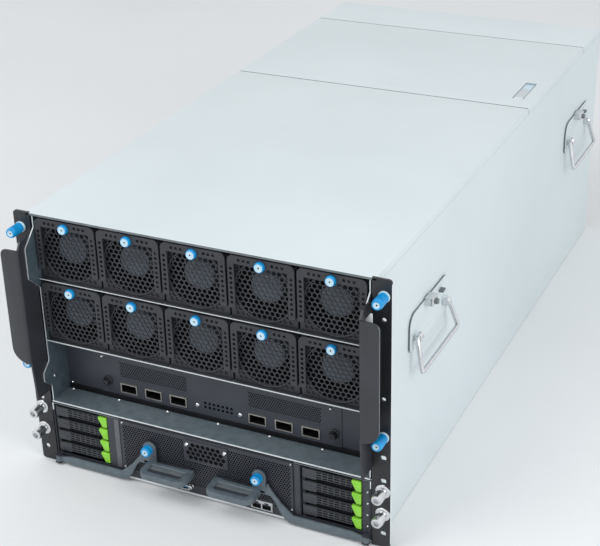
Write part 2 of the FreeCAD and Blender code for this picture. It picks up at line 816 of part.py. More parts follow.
def build_fans():
    """Ten hot-swap fan modules and their rotors, drawn once about the fan axis."""
    inner = ("-fan_half + frame_side", "fan_half - frame_side")
    plate_y = ("frame_deep", "frame_deep + guard_sheet")
    whole_x = ("-fan_half", "fan_half")
    whole_z = ("-fan_tall", "fan_tall")
    frame = cut("pull_frame", block("frame_block", whole_x, ("0", "frame_deep"), whole_z),
                [block("frame_mouth", inner, ("-guard_sheet", "frame_deep + guard_sheet"),
                       ("-fan_tall - frame_top", "fan_tall - frame_top"))])
    sheet_plate = block("guard_sheet", whole_x, plate_y, whole_z)
    cells = []
    for index, (cosine, sine) in enumerate(around(GUARD_CELLS), 1):
        cells.append(prism("guard_cell_%d" % index, 6, "y",
                           ("%.7f * guard_ring / 2" % cosine, "frame_deep - guard_sheet",
                            "%.7f * guard_ring / 2" % sine),
                           "guard_cell * %.7f" % (2 * HEX_SIDE), "3 * guard_sheet"))
    knob = prism("fan_knob", KNOB_SIDES, "y", ("0", "-fan_knob_length", "fan_tall - fan_knob_drop"),
                 "fan_knob", "fan_knob_length + frame_deep")
    guard = joined("guard", [frame, knob, cut("guard_mesh", sheet_plate, cells)])

    tunnel_y = ("frame_deep + guard_sheet", "fan_depth")
    tunnel = cut("fan_tunnel", block("tunnel_block", whole_x, tunnel_y, whole_z),
                 [prism("tunnel_bore", BORE_SIDES, "y", ("0", "0", "0"), "fan_bore", "2 * fan_depth")])
    strut_y = ("motor_face", "fan_depth")
    reach = ("-fan_bore / 2 - strut_lap", "fan_bore / 2 + strut_lap")
    across = ("-strut_width / 2", "strut_width / 2")
    strut = block("motor_strut", reach, strut_y, across)
    shaft = rod("fan_shaft", "y", ("0", "rotor_front + rotor_gap", "0"), "shaft_size",
                "motor_face - rotor_front")
    housing = joined("fan_housing", [tunnel, shaft, strut])

    hub = prism("rotor_hub", HUB_SIDES, "y", ("0", "rotor_front", "0"), "rotor_hub",
                "motor_face - rotor_front - rotor_gap")
    blades = []
    for index in range(BLADES):
        blade = doc.addObject("Part::Box", "blade_%d" % (index + 1))
        bind(blade, "Length", "blade_chord")
        bind(blade, "Width", "blade_sheet")
        bind(blade, "Height", "blade_tip - rotor_hub / 2 + blade_root")
        pitched = doc.addObject("Part::Compound", "blade_pitched_%d" % (index + 1))
        pitched.Links = [blade]
        move(blade, "-blade_chord / 2", "-blade_sheet / 2", "rotor_hub / 2 - blade_root")
        pitched.Placement = FreeCAD.Placement(FreeCAD.Vector(), FreeCAD.Rotation(FreeCAD.Vector(0, 0, 1),
                                                                                 number("blade_pitch")))
        bind(pitched, "Placement.Rotation.Angle", "blade_pitch")
        spun = doc.addObject("Part::Compound", "blade_spun_%d" % (index + 1))
        spun.Links = [pitched]
        turn = FreeCAD.Rotation(FreeCAD.Vector(0, 1, 0), 360.0 * index / BLADES)
        spun.Placement = FreeCAD.Placement(FreeCAD.Vector(), turn)
        bind(spun, "Placement.Base.y", "blade_centre")
        blades.append(spun)
    bore = rod("rotor_bore", "y", ("0", "rotor_front + rotor_gap", "0"), "shaft_size + 2 * shaft_clear",
               "fan_depth")
    rotor = cut("rotor", joined("rotor_blank", blades + [hub]), [bore])

    index = 0
    for row in range(FAN_ROWS):
        for column in range(FAN_COLUMNS):
            index += 1
            level = FAN_ROWS - 1 - row
            place = ("%d * fan_pitch_x" % (column - FAN_COLUMNS // 2), "fan_face",
                     "fan_floor + fan_seat + fan_tall + %d * fan_pitch_z" % level)
            node("fan_module_%02d" % index, [housing, guard], *place)
            node("fan_rotor_%02d" % index, [rotor], *place)


def build_sled():
    """Closed sled of the head node: case of flat sheets, and a front with sill, pillars, bay walls and lugs."""
    inside_z = ("node_base + node_sheet", "node_top - node_sheet")
    long_y = ("node_front", "node_front + node_length")
    whole_x = ("-node_half", "node_half")
    side = block("sled_side", ("node_in", "node_half"), long_y, inside_z)
    case = [
        block("sled_floor", whole_x, long_y, ("node_base", inside_z[0])),
        block("sled_lid", whole_x, long_y, (inside_z[1], "node_top")),
        side,
        mirrored("sled_side_left", side),
        block("sled_back", ("-node_in", "node_in"), (long_y[1] + " - node_sheet", long_y[1]), inside_z),
    ]
    sill = block("sled_sill", ("-node_in", "node_in"), ("node_front", "node_front + node_sheet"),
                 (inside_z[0], "sill_high"))
    pillar_y = ("node_front", "node_front + pillar_deep")
    wall_y = ("node_front", "node_front + bay_deep")
    spans = (("left_pillar_out", "-left_pillar"), ("left_pillar", "right_bay"),
             ("right_pillar_in", "node_in"))
    pieces = [sill]
    for index, span in enumerate(spans):
        pieces.append(block("pillar_%d" % index, span, pillar_y, inside_z))
    walls = (("left_pillar_out", "left_pillar_out + node_sheet"),
             ("right_bay - node_sheet", "right_bay"),
             ("right_pillar_in", "right_pillar_in + node_sheet"))
    for index, span in enumerate(walls):
        pieces.append(block("bay_wall_%d" % index, span, wall_y, inside_z))
    for side in (-1, 1):
        middle = "%d * lever_pivot_x" % side
        lug_x = (middle + " - lever_barrel / 2", middle + " + lever_barrel / 2")
        lug_y = ("lever_y - lever_barrel / 2", "node_front")
        low_top = "strap_low - lug_gap"
        high_low = "strap_high + lug_gap"
        name = "lever_lug_%d" % (side + 1)
        pieces.append(block(name + "_low", lug_x, lug_y, (low_top + " - lug_sheet", low_top)))
        pieces.append(block(name + "_high", lug_x, lug_y, (high_low, high_low + " + lug_sheet")))
        pieces.append(rod(name + "_pin", "z", (middle, "lever_y", low_top), "lever_pin",
                          "strap_high - strap_low + 2 * lug_gap"))
    node("node_tray", case + [joined("sled_front", pieces)])


def build_sled_face():
    """Vent plate between the drive bays, its centre plate and the jacks on the sill."""
    face_y = ("node_front - face_sheet", "node_front")
    face = block("face_plate", ("-face_half", "face_half"), face_y, ("sill_high + slide_clear",
                                                                   "node_top - node_sheet"))
    tools = []
    through = ("node_front - 4 * face_sheet", "node_front + face_sheet")
    for side in (-1, 1):
        for slot in range(MESH_SLOTS):
            start = "%d * (centre_half + mesh_margin + %d * mesh_pitch) - mesh_slot / 2" % (side, slot)
            tools.append(block("mesh_%d_%d" % (side + 1, slot), (start, start + " + mesh_slot"), through,
                               ("mesh_low", "mesh_high")))
    centre = block("centre_plate", ("-centre_half", "centre_half"),
                   ("node_front - 2 * face_sheet", "node_front - face_sheet"),
                   ("centre_low", "centre_high"))
    for row in range(2):
        for column in (-1, 1):
            x = "%d * centre_pitch / 2 - centre_hole / 2" % column
            z = "centre_low + centre_hole + %d * centre_pitch - centre_hole / 2" % row
            tools.append(block("centre_%d_%d" % (row, column + 1), (x, x + " + centre_hole"), through,
                               (z, z + " + centre_hole")))
    vents = cut("sled_vents", joined("face_pair", [face, centre]), tools)

    jack_y = ("node_front - jack_wall", "node_front")
    jack = block("jack_block", ("jack_start", "jack_start + jack_width"), jack_y,
                 ("jack_low", "jack_low + jack_tall"))
    jack_holes = []
    for place in range(2):
        low = "jack_start + jack_wall + %d * (jack_width - 2 * jack_wall - jack_hole)" % place
        jack_holes.append(block("jack_hole_%d" % place, (low, low + " + jack_hole"),
                                ("node_front - 2 * jack_wall", "node_front - jack_wall / 4"),
                                ("jack_low + jack_wall", "jack_low + jack_tall - jack_wall")))
    usb_x = ("-usb_start", "-usb_start + usb_width")
    usb = block("usb_block", usb_x, jack_y, ("jack_low", "jack_low + usb_tall"))
    usb_hole = block("usb_hole", ("-usb_start + jack_wall", "-usb_start + usb_width - jack_wall"),
                     ("node_front - 2 * jack_wall", "node_front - jack_wall / 4"),
                     ("jack_low + jack_wall", "jack_low + usb_tall - jack_wall"))
    node("node_face", [vents, cut("jack_pair", jack, jack_holes), cut("usb_port", usb, [usb_hole])])


def build_levers():
    """Pair of sled levers: strap, ramp, screw tab, finger grip and thumb screw."""
    strap_y = ("strap_front", "strap_rear")
    strap = plate("lever_strap", "XZ", [
        ("lever_pivot_x", "strap_low"),
        ("lever_pivot_x", "strap_high"),
        ("ramp_start", "strap_high"),
        ("ramp_end", "grip_high"),
        ("grip_start + grip_corner", "grip_high"),
        ("grip_start + grip_corner", "grip_low"),
        ("ramp_end - strap_sheet", "grip_low"),
        ("ramp_start - strap_sheet", "strap_low"),
    ], strap_y)
    barrel = rod("lever_barrel", "z", ("lever_pivot_x", "lever_y", "strap_low"), "lever_barrel",
                 "strap_high - strap_low")
    tab = rod("lever_tab", "y", ("tab_centre_x", "strap_front", "tab_centre_z"), "tab_size",
              "strap_sheet")
    neck = block("lever_neck", ("tab_centre_x - tab_size / 2", "tab_centre_x + tab_size / 2"), strap_y,
                 ("grip_high - strap_sheet", "tab_centre_z"))
    grip_y = "front_y - grip_reach"
    grip_outline = [
        ("grip_start", grip_y),
        ("grip_end", grip_y),
        ("grip_end", "strap_rear"),
        ("grip_start", "strap_rear"),
    ]
    grip = plate("lever_grip", "XY", grip_outline, ("grip_low", "grip_high"))
    round_corners(grip, "XY", grip_outline[:2], "grip_corner")
    window = block("grip_window", ("grip_start + grip_band", "grip_end - grip_band"),
                   (grip_y + " + grip_band", "strap_rear - grip_band"),
                   ("grip_low - grip_band", "grip_high + grip_band"))
    bore = rod("lever_bore", "z", ("lever_pivot_x", "lever_y", "0"), "lever_pin + pin_clear", "2 * strap_high")
    arm = cut("lever_arm", joined("lever_blank", [strap, barrel, tab, neck, grip]),
              [window, bore])
    knob = prism("lever_knob", KNOB_SIDES, "y",
                 ("tab_centre_x", "strap_front - lever_knob_length", "tab_centre_z"),
                 "lever_knob", "lever_knob_length")
    node("node_lever_right", [arm, knob])
    node("node_lever_left", [mirrored("lever_arm_left", arm), mirrored("lever_knob_left", knob)])


def build_drives():
    """Eight drives in their carriers, each with a swinging bezel and its release tab."""
    rear_y = "bezel_deep + drive_deep"
    case = block("carrier_block", ("0", "drive_width"), ("bezel_deep", rear_y), ("0", "drive_height"))
    pocket = block("carrier_pocket", ("drive_wall", "drive_width - drive_wall"),
                   ("bezel_deep + drive_wall", rear_y + " + drive_wall"),
                   ("drive_wall", "drive_height + drive_wall"))
    lug_span = ("hinge_x - bezel_sheet / 2", "hinge_x + bezel_sheet / 2")
    lug_y = ("bezel_inset", "bezel_deep")
    lugs = [
        block("carrier_lug_low", lug_span, lug_y, ("0", "hinge_lug")),
        block("carrier_lug_high", lug_span, lug_y, ("drive_height - hinge_lug", "drive_height")),
        prism("carrier_pin", PIN_SIDES, "z", ("hinge_x", "hinge_y", "hinge_lug"), "hinge_pin",
              "drive_height - 2 * hinge_lug"),
    ]
    carrier = joined("carrier", [cut("carrier_tray", case, [pocket])] + lugs)
    disk = block("disk", ("drive_wall + disk_gap", "drive_width - drive_wall - disk_gap"),
                 ("bezel_deep + drive_wall + disk_gap", rear_y),
                 ("drive_wall", "drive_height - disk_gap"))

    bezel_z = ("hinge_lug + slide_clear", "drive_height - hinge_lug - slide_clear")
    bezel_y = ("bezel_inset", "bezel_inset + bezel_sheet")
    bar = block("bezel_bar", ("hinge_x - bezel_sheet / 2", "drive_width - latch_width"), bezel_y, bezel_z)
    bore = prism("bezel_bore", PIN_SIDES, "z", ("hinge_x", "hinge_y", "0"),
                 "(hinge_pin + pin_clear) / %.7f" % math.cos(math.pi / PIN_SIDES), "drive_height")
    bezel = cut("bezel", bar, [bore])
    latch = block("release_tab", ("drive_width - latch_width", "drive_width - latch_margin"),
                  ("slide_clear", "bezel_inset + bezel_sheet"),
                  ("latch_margin", "drive_height - latch_margin"))
    index = 0
    for column in range(DRIVE_COLUMNS):
        start = ("left_bay", "right_bay + drive_clear")[column]
        for row in range(DRIVE_ROWS):
            index += 1
            level = DRIVE_ROWS - 1 - row
            place = (start, "node_front - slide_clear", "drive_base + %d * drive_pitch" % level)
            node("drive_carrier_%d" % index, [carrier, disk], *place)
            node("drive_lever_%d" % index, [bezel, latch], *place)


def build_side_handles():
    """Four carrying handles: brackets with eyes on the side walls and hanging wire bails."""
    outline = [
        ("-bracket_width / 2", "bracket_low"),
        ("bracket_width / 2", "bracket_low"),
        ("bracket_width / 2", "bracket_high"),
        ("-bracket_width / 2", "bracket_high"),
    ]
    base = plate("bracket_plate", "YZ", outline, ("half_body", "half_body + bracket_sheet"))
    round_corners(base, "YZ", outline, "bracket_corner")
    eyes = []
    holes = []
    for side in (-1, 1):
        near = "lug_inner" if side > 0 else "-lug_outer"
        eyes.append(prism("eye_%d" % (side + 1), WIRE_SIDES, "y", ("lug_x", near, "lug_height"), "lug_size",
                          "lug_thick"))
        holes.append(prism("eye_hole_%d" % (side + 1), WIRE_SIDES, "y",
                           ("lug_x", near + " - lug_thick", "lug_height"),
                           "(bail_wire + bail_clear) / %.7f" % math.cos(math.pi / WIRE_SIDES),
                           "3 * lug_thick"))
    bracket = cut("bracket", joined("bracket_blank", [base] + eyes), holes)
    left = mirrored("bracket_left", bracket)
    brackets = []
    for source in (bracket, left):
        for place in ("front_bracket", "rear_bracket"):
            copy = doc.addObject("Part::Compound", "bracket_%d" % (len(brackets) + 1))
            copy.Links = [source]
            brackets.append(move(copy, "0", "front_y + " + place, "0"))
    node("handle_brackets", brackets)

    body = doc.addObject("PartDesign::Body", "bail")
    spine = sketch_on(body, "YZ", "bail_spine", "0")
    route = [
        ("-lug_inner", "0"),
        ("-arm_y", "0"),
        ("-arm_y - bail_spread", "-bail_drop"),
        ("arm_y + bail_spread", "-bail_drop"),
        ("arm_y", "0"),
        ("lug_inner", "0"),
    ]
    spots = [FreeCAD.Vector(number(u), number(v), 0) for u, v in route]
    for start, end in zip(spots, spots[1:]):
        spine.addGeometry(Part.LineSegment(start, end), False)
    for index in range(len(spots) - 2):
        spine.addConstraint(Sketcher.Constraint("Coincident", index, 2, index + 1, 1))
    for index, corner in enumerate(route[:-1]):
        hold(spine, index, corner)
    last = len(spots) - 2
    end_x = spine.addConstraint(Sketcher.Constraint("DistanceX", -1, 1, last, 2, number("lug_inner")))
    bind(spine, "Constraints[%d]" % end_x, "lug_inner")
    spine.addConstraint(Sketcher.Constraint("PointOnObject", last, 2, -1))
    ring = sketch_on(body, "XZ", "bail_section", "lug_inner")
    draw_outline(ring, [("%.7f * bail_wire / 2" % cosine, "%.7f * bail_wire / 2" % sine)
                        for cosine, sine in around(WIRE_SIDES)])
    pipe = body.newObject("PartDesign::AdditivePipe", "bail_pipe")
    pipe.Profile = ring
    pipe.Spine = spine
    pipe.Transition = "Right corner"
    doc.recompute()
    for side, sign in (("right", 1), ("left", -1)):
        for end in ("front", "rear"):
            piece = node("bail_%s_%s" % (end, side), [body])
            piece.Placement = FreeCAD.Placement(FreeCAD.Vector(), FreeCAD.Rotation(FreeCAD.Vector(0, -sign, 0),
                                                                                   number("bail_tilt")))
            bind(piece, "Placement.Rotation.Angle", "bail_tilt")
            move(piece, "%d * lug_x" % sign, "front_y + %s_bracket" % end, "lug_height")


def build_rear():
    """Slotted rear wall and six upright power supplies with pull handles."""
    right = [
        ("half_body", "0"),
        ("half_body", "wall_top"),
        ("wall_in - seam_gap", "wall_top"),
        ("wall_in - seam_gap", "tongue_top"),
    ]
    left = [("-(%s)" % u, v) for u, v in reversed(right)]
    wall = plate("rear_wall", "XZ", right + left, ("rear_y - sheet", "rear_y"))
    through = ("rear_y - 3 * sheet", "rear_y + 3 * sheet")
    tools = []
    supplies = []
    for side in (-1, 1):
        for place in range(SUPPLY_COUNT // 2):
            middle = "%d * (supply_start + supply_width / 2 + %d * supply_pitch)" % (side, place)
            name = "supply_%d" % (len(supplies) + 1)

            def spread(inset, centre=middle):
                return ("%s - supply_width / 2 + (%s)" % (centre, inset),
                        "%s + supply_width / 2 - (%s)" % (centre, inset))

            low = "supply_low"
            high = "supply_low + supply_tall"
            tools.append(block(name + "_opening", spread("-supply_gap"), through,
                               (low + " - supply_gap", high + " + supply_gap")))
            case = block(name + "_case", spread("0"), ("rear_y - supply_long", "rear_y"), (low, high))
            grip_low = "supply_low + supply_tall / 2 - grip_tall / 2"
            grip_high = "supply_low + supply_tall / 2 + grip_tall / 2"
            grip_x = ("%s - grip_bar / 2" % middle, "%s + grip_bar / 2" % middle)
            bow = block(name + "_bow", grip_x, ("rear_y", "rear_y + supply_grip"), (grip_low, grip_high))
            gap = block(name + "_gap", ("%s - grip_bar" % middle, "%s + grip_bar" % middle),
                        ("rear_y", "rear_y + supply_grip - grip_bar"),
                        (grip_low + " + grip_bar", grip_high + " - grip_bar"))
            supplies.append(joined(name, [case, cut(name + "_handle", bow, [gap])]))
    for row in range(2):
        for slot in range(-REAR_SLOTS, REAR_SLOTS + 1):
            start = "%d * rear_vent_pitch - rear_vent_slot / 2" % slot
            low = "rear_vent_low + %d * rear_vent_pitch_z" % row
            tools.append(block("rear_vent_%d_%d" % (row, slot + REAR_SLOTS), (start, start + " + rear_vent_slot"),
                               through, (low, low + " + rear_vent_tall")))
    node("rear_panel", [cut("rear_sheet_cut", wall, tools)])
    node("power_supplies", supplies)


build_shell()
build_covers()
build_ears()
build_tray()
build_port_panel()
build_board()
build_fans()
build_sled()
build_sled_face()
build_levers()
build_drives()
build_side_handles()
build_rear()
doc.recompute()

for thing in doc.Objects:
    if "Invalid" in thing.State or "Error" in thing.State:
        raise RuntimeError("failed object: " + thing.Label)
for piece in nodes:
    if piece.Shape.isNull() or not piece.Shape.isValid() or not piece.Shape.Solids:
        raise RuntimeError("bad shape: " + piece.Label)

os.makedirs("parts", exist_ok=True)
for piece in nodes:
    piece.Shape.exportStep("parts/%s.step" % piece.Label)
print("%d sub-parts, %d solids" % (len(nodes), sum(len(piece.Shape.Solids) for piece in nodes)))
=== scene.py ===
# %% [markdown]
# # Dressing a rack server with a wall of fans
#
# The CAD model of this server is already packed: a folded shell, a tray with ten fan modules, a flat sled
# with drives and levers, and all their joints. This lesson gives it its looks.
# Each piece made here is measured from the CAD box of the node that it stands for, and rides on that node's body,
# so everything still slides and swings.

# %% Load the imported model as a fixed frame
import json
import math

import bmesh
import bpy
from mathutils import Matrix, Vector

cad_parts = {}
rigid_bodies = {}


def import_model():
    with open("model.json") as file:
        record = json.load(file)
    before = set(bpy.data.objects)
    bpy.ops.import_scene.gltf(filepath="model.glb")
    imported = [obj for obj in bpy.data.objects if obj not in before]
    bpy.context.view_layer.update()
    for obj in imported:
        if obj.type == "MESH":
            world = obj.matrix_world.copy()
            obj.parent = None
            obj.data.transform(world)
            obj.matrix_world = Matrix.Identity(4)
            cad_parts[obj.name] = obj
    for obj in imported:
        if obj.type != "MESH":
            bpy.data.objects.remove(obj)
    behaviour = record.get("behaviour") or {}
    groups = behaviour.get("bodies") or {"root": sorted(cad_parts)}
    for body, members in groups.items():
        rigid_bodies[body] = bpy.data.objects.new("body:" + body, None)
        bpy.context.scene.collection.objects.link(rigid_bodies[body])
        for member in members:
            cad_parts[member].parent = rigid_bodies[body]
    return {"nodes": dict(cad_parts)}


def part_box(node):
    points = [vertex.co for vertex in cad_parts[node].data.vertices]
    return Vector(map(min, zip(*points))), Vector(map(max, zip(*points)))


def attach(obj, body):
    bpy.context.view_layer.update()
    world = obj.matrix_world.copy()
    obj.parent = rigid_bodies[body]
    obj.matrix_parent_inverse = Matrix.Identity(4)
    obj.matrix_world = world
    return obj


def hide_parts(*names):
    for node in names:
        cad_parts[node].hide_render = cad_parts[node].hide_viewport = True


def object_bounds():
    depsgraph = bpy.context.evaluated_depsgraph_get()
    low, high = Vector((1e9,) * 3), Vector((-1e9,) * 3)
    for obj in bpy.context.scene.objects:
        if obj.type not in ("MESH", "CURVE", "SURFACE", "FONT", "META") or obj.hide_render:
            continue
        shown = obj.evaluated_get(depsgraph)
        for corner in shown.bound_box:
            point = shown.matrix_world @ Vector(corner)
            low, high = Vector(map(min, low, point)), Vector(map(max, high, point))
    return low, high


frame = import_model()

cad_low, cad_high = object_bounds()
print("CAD box in mm:", [round(side * 1000) for side in cad_high - cad_low])

# %% [markdown]
# ## The camera
#
# The photograph looks down on the front right corner with a fairly long lens.
# A camera can be aimed with a constraint, but a matrix built from its own three directions also takes the small
# roll that a hand-held camera has. The columns of the matrix are right, up and back.

# %% Camera at the photograph's view
azimuth, elevation, roll = (math.radians(angle) for angle in (25.66, 26.87, -1.44))
camera_spot = Vector((0.72132, -1.69470, 1.02653))
back = Vector((math.sin(azimuth) * math.cos(elevation), -math.cos(azimuth) * math.cos(elevation),
               math.sin(elevation)))
level = (-back).cross(Vector((0, 0, 1))).normalized()
upright = level.cross(-back)
right = math.cos(roll) * level + math.sin(roll) * upright
up = math.cos(roll) * upright - math.sin(roll) * level

lens = bpy.data.cameras.new("photo_lens")
lens.sensor_width = 36.0
lens.lens = 84.08
camera = bpy.data.objects.new("photo_camera", lens)
camera.matrix_world = Matrix.Translation(camera_spot) @ Matrix((right, up, back)).transposed().to_4x4()
bpy.context.scene.collection.objects.link(camera)
bpy.context.scene.camera = camera
print("camera stands", round(camera_spot.length, 2), "m from the base")

# %% [markdown]
# ## Soft studio light
#
# In the photograph the top and the side are almost equally bright, so most of the light comes from all round.
# The world gives that even light. One large lamp above the left shoulder gives the edges their direction, and
# another keeps the right side bright.
# The camera and reflections see the world at full white, while the light it sends stays at a plain level.

# %% World and lamps
scene = bpy.context.scene
scene.view_settings.view_transform = "Standard"
studio = bpy.data.worlds.new("studio")
studio.use_nodes = True
scene.world = studio
tree = studio.node_tree
glow = tree.nodes["Background"]
glow.inputs["Color"].default_value = (0.96, 0.98, 1.0, 1.0)
glow.inputs["Strength"].default_value = 0.72
seen = tree.nodes.new("ShaderNodeBackground")
seen.inputs["Color"].default_value = (1.0, 1.0, 1.0, 1.0)
seen.inputs["Strength"].default_value = 1.0
path = tree.nodes.new("ShaderNodeLightPath")
chooser = tree.nodes.new("ShaderNodeMixShader")
sees_white = path.outputs["Is Camera Ray"]
for ray in ("Is Glossy Ray", "Is Transmission Ray"):
    either = tree.nodes.new("ShaderNodeMath")
    either.operation = "MAXIMUM"
    tree.links.new(sees_white, either.inputs[0])
    tree.links.new(path.outputs[ray], either.inputs[1])
    sees_white = either.outputs["Value"]
tree.links.new(sees_white, chooser.inputs["Fac"])
tree.links.new(glow.outputs["Background"], chooser.inputs[1])
tree.links.new(seen.outputs["Background"], chooser.inputs[2])
tree.links.new(chooser.outputs["Shader"], tree.nodes["World Output"].inputs["Surface"])


def softbox(name, spot, aim, size, power):
    """Square lamp at one point that faces another."""
    lamp = bpy.data.lights.new(name, "AREA")
    lamp.size = size
    lamp.energy = power
    stand = bpy.data.objects.new(name, lamp)
    stand.location = spot
    stand.rotation_euler = (Vector(aim) - Vector(spot)).to_track_quat("-Z", "Y").to_euler()
    scene.collection.objects.link(stand)


softbox("key_lamp", (-1.2, -2.0, 2.4), (0.0, -0.2, 0.15), 1.8, 34.0)
softbox("side_lamp", (2.6, -1.2, 1.6), (0.2, 0.0, 0.15), 1.6, 30.0)

# %% [markdown]
# ## Finishes
#
# A sheet-metal server has few colours but many finishes: powder coat, zinc, bare edges, moulded plastic.
# Each one starts from the Principled shader. A pattern on Object coordinates then changes the colour a little,
# the roughness a little more, and lifts the surface by hundredths of a millimetre.
# One number that holds for the whole surface goes straight on the shader's own socket.

# %% Small tools for shader nodes
def tint(red, green, blue):
    """Colour as a screen shows it, 0 to 255, as the linear numbers that a shader takes."""
    shares = [channel / 255 for channel in (red, green, blue)]
    return [((share + 0.055) / 1.055) ** 2.4 if share > 0.04 else share / 12.92 for share in shares] + [1.0]


def start_finish(name, rough, metal=0.0):
    """New material with its plain values on the shader."""
    finish = bpy.data.materials.new(name)
    finish.use_nodes = True
    shader = finish.node_tree.nodes["Principled BSDF"]
    shader.inputs["Roughness"].default_value = rough
    shader.inputs["Metallic"].default_value = metal
    return finish, shader


def add(finish, kind, **values):
    """New shader node with some of its sockets set."""
    node = finish.node_tree.nodes.new("ShaderNode" + kind)
    for socket, value in values.items():
        node.inputs[socket.replace("_", " ")].default_value = value
    return node


def join(finish, source, target):
    """Wire from one socket to another."""
    finish.node_tree.links.new(source, target)


# %% Patterns on a finish
def two_shades(finish, pattern, dark, light, stops=(0.35, 0.65)):
    """Colour that drifts between two shades where a pattern is low and high."""
    ramp = add(finish, "ValToRGB")
    for stop, shade, place in zip(ramp.color_ramp.elements, (dark, light), stops):
        stop.color = tint(*shade)
        stop.position = place
    join(finish, pattern, ramp.inputs["Fac"])
    return ramp.outputs["Color"]


def uneven_gloss(finish, shader, pattern, low, high):
    """Roughness that follows a pattern."""
    span = add(finish, "MapRange", From_Min=0.3, From_Max=0.7, To_Min=low, To_Max=high)
    join(finish, pattern, span.inputs["Value"])
    join(finish, span.outputs["Result"], shader.inputs["Roughness"])


def raised(finish, shader, pattern, strength, height):
    """Small relief from a pattern, its height in metres."""
    bump = add(finish, "Bump", Strength=strength, Distance=height)
    join(finish, pattern, bump.inputs["Height"])
    join(finish, bump.outputs["Normal"], shader.inputs["Normal"])


# %% [markdown]
# ### Powder coat and moulded plastic
#
# Both are smooth skins with a fine orange peel. Two noises do it: a slow one drifts the colour over the panel,
# and a fast one of about a millimetre makes the peel.

# %% Coated finishes
def coated(name, dark, light, rough, cloud=6.0, grain=900.0, relief=0.12, gleam=0.5):
    """Skin with slow drift of colour and a fine peel."""
    finish, shader = start_finish(name, rough)
    shader.inputs["Specular IOR Level"].default_value = gleam
    place = add(finish, "TexCoord").outputs["Object"]
    drift = add(finish, "TexNoise", Scale=cloud, Detail=4.0, Roughness=0.6)
    peel = add(finish, "TexNoise", Scale=grain, Detail=2.0)
    for pattern in (drift, peel):
        join(finish, place, pattern.inputs["Vector"])
    join(finish, two_shades(finish, drift.outputs["Fac"], dark, light), shader.inputs["Base Color"])
    uneven_gloss(finish, shader, peel.outputs["Fac"], rough - 0.06, rough + 0.08)
    raised(finish, shader, peel.outputs["Fac"], relief, 0.0002)
    return finish


shell_coat = coated("shell_coat", (206, 216, 219), (212, 222, 225), 0.46, cloud=3.0, grain=700.0, relief=0.06)
charcoal_coat = coated("charcoal_coat", (47, 50, 57), (55, 58, 66), 0.42, cloud=14.0)
panel_coat = coated("panel_coat", (53, 57, 65), (61, 65, 74), 0.42, cloud=14.0)
handle_coat = coated("handle_coat", (42, 44, 49), (49, 51, 57), 0.42, cloud=14.0)
black_coat = coated("black_coat", (29, 31, 35), (36, 38, 42), 0.40, cloud=14.0)
fan_plastic = coated("fan_plastic", (41, 43, 48), (50, 52, 58), 0.50, cloud=25.0, grain=1400.0)
hub_plastic = coated("hub_plastic", (100, 110, 121), (112, 122, 133), 0.48, cloud=40.0)
blade_plastic = coated("blade_plastic", (34, 35, 38), (42, 43, 47), 0.44, cloud=40.0)
bezel_plastic = coated("bezel_plastic", (52, 55, 60), (60, 63, 68), 0.52, cloud=30.0, grain=1500.0)
dark_cavity = coated("dark_cavity", (10, 10, 12), (15, 15, 17), 0.7, cloud=30.0, gleam=0.1)
# Dark colour of the painted shadow under the port panel.
painted_shadow_dark = coated("painted_shadow_dark", (24, 26, 29), (31, 33, 37), 0.8, cloud=30.0, gleam=0.15)
blue_grip = coated("blue_grip", (4, 142, 208), (16, 158, 222), 0.30, cloud=60.0, grain=1600.0, relief=0.05)
pale_cap = coated("pale_cap", (186, 214, 228), (204, 228, 238), 0.34, cloud=80.0, grain=1600.0, relief=0.04)
pale_blue = coated("pale_blue", (182, 207, 219), (196, 217, 227), 0.36, cloud=60.0, grain=1600.0, relief=0.05)
bar_blue = coated("bar_blue", (108, 138, 154), (122, 150, 165), 0.36, cloud=60.0, grain=1600.0, relief=0.05)
# Grey that paints the shade of the latch flap's finger hollow.
painted_hollow_shade = coated("painted_hollow_shade", (188, 195, 200), (196, 203, 208), 0.42, cloud=60.0)
# Mid grey of small dark parts; on lips and edges it also paints shade, and on the handles' outer edges a highlight.
cut_edge = coated("cut_edge", (92, 100, 104), (112, 119, 123), 0.38, cloud=50.0)
bare_edge = coated("bare_edge", (216, 220, 223), (228, 231, 233), 0.34, cloud=90.0)
post_grey = coated("post_grey", (88, 90, 96), (98, 100, 106), 0.46, cloud=40.0)
green_latch = coated("green_latch", (136, 208, 58), (152, 222, 74), 0.36, cloud=60.0, grain=1600.0, relief=0.05)
board_mask = coated("board_mask", (22, 58, 48), (28, 70, 56), 0.34, cloud=30.0, grain=500.0)
floor_paper = coated("floor_paper", (232, 234, 235), (236, 238, 239), 0.85, cloud=1.5, grain=200.0, relief=0.02)
print("materials so far:", len(bpy.data.materials))


# %% [markdown]
# ### Metals
#
# Zinc-coated sheet shows faint cells of crystal, so its pattern is a Voronoi. Turned and drawn metal shows lines,
# so its noise is stretched with a Mapping node. On the tray, the sheared edges are bare and bright: its faces that
# look straight to the front are all such edges, so the object's own normal picks them out. The normal also makes
# the
# flats that look up a little lighter: that is painted light from above.

# %% Metal finishes
def drawn_metal(name, dark, light, rough, stretch):
    """Metal with fine lines along one direction."""
    finish, shader = start_finish(name, rough, metal=1.0)
    place = add(finish, "TexCoord").outputs["Object"]
    turn = add(finish, "Mapping", Scale=stretch)
    lines = add(finish, "TexNoise", Scale=1.0, Detail=3.0)
    join(finish, place, turn.inputs["Vector"])
    join(finish, turn.outputs["Vector"], lines.inputs["Vector"])
    join(finish, two_shades(finish, lines.outputs["Fac"], dark, light), shader.inputs["Base Color"])
    uneven_gloss(finish, shader, lines.outputs["Fac"], rough - 0.05, rough + 0.06)
    raised(finish, shader, lines.outputs["Fac"], 0.05, 0.00003)
    return finish


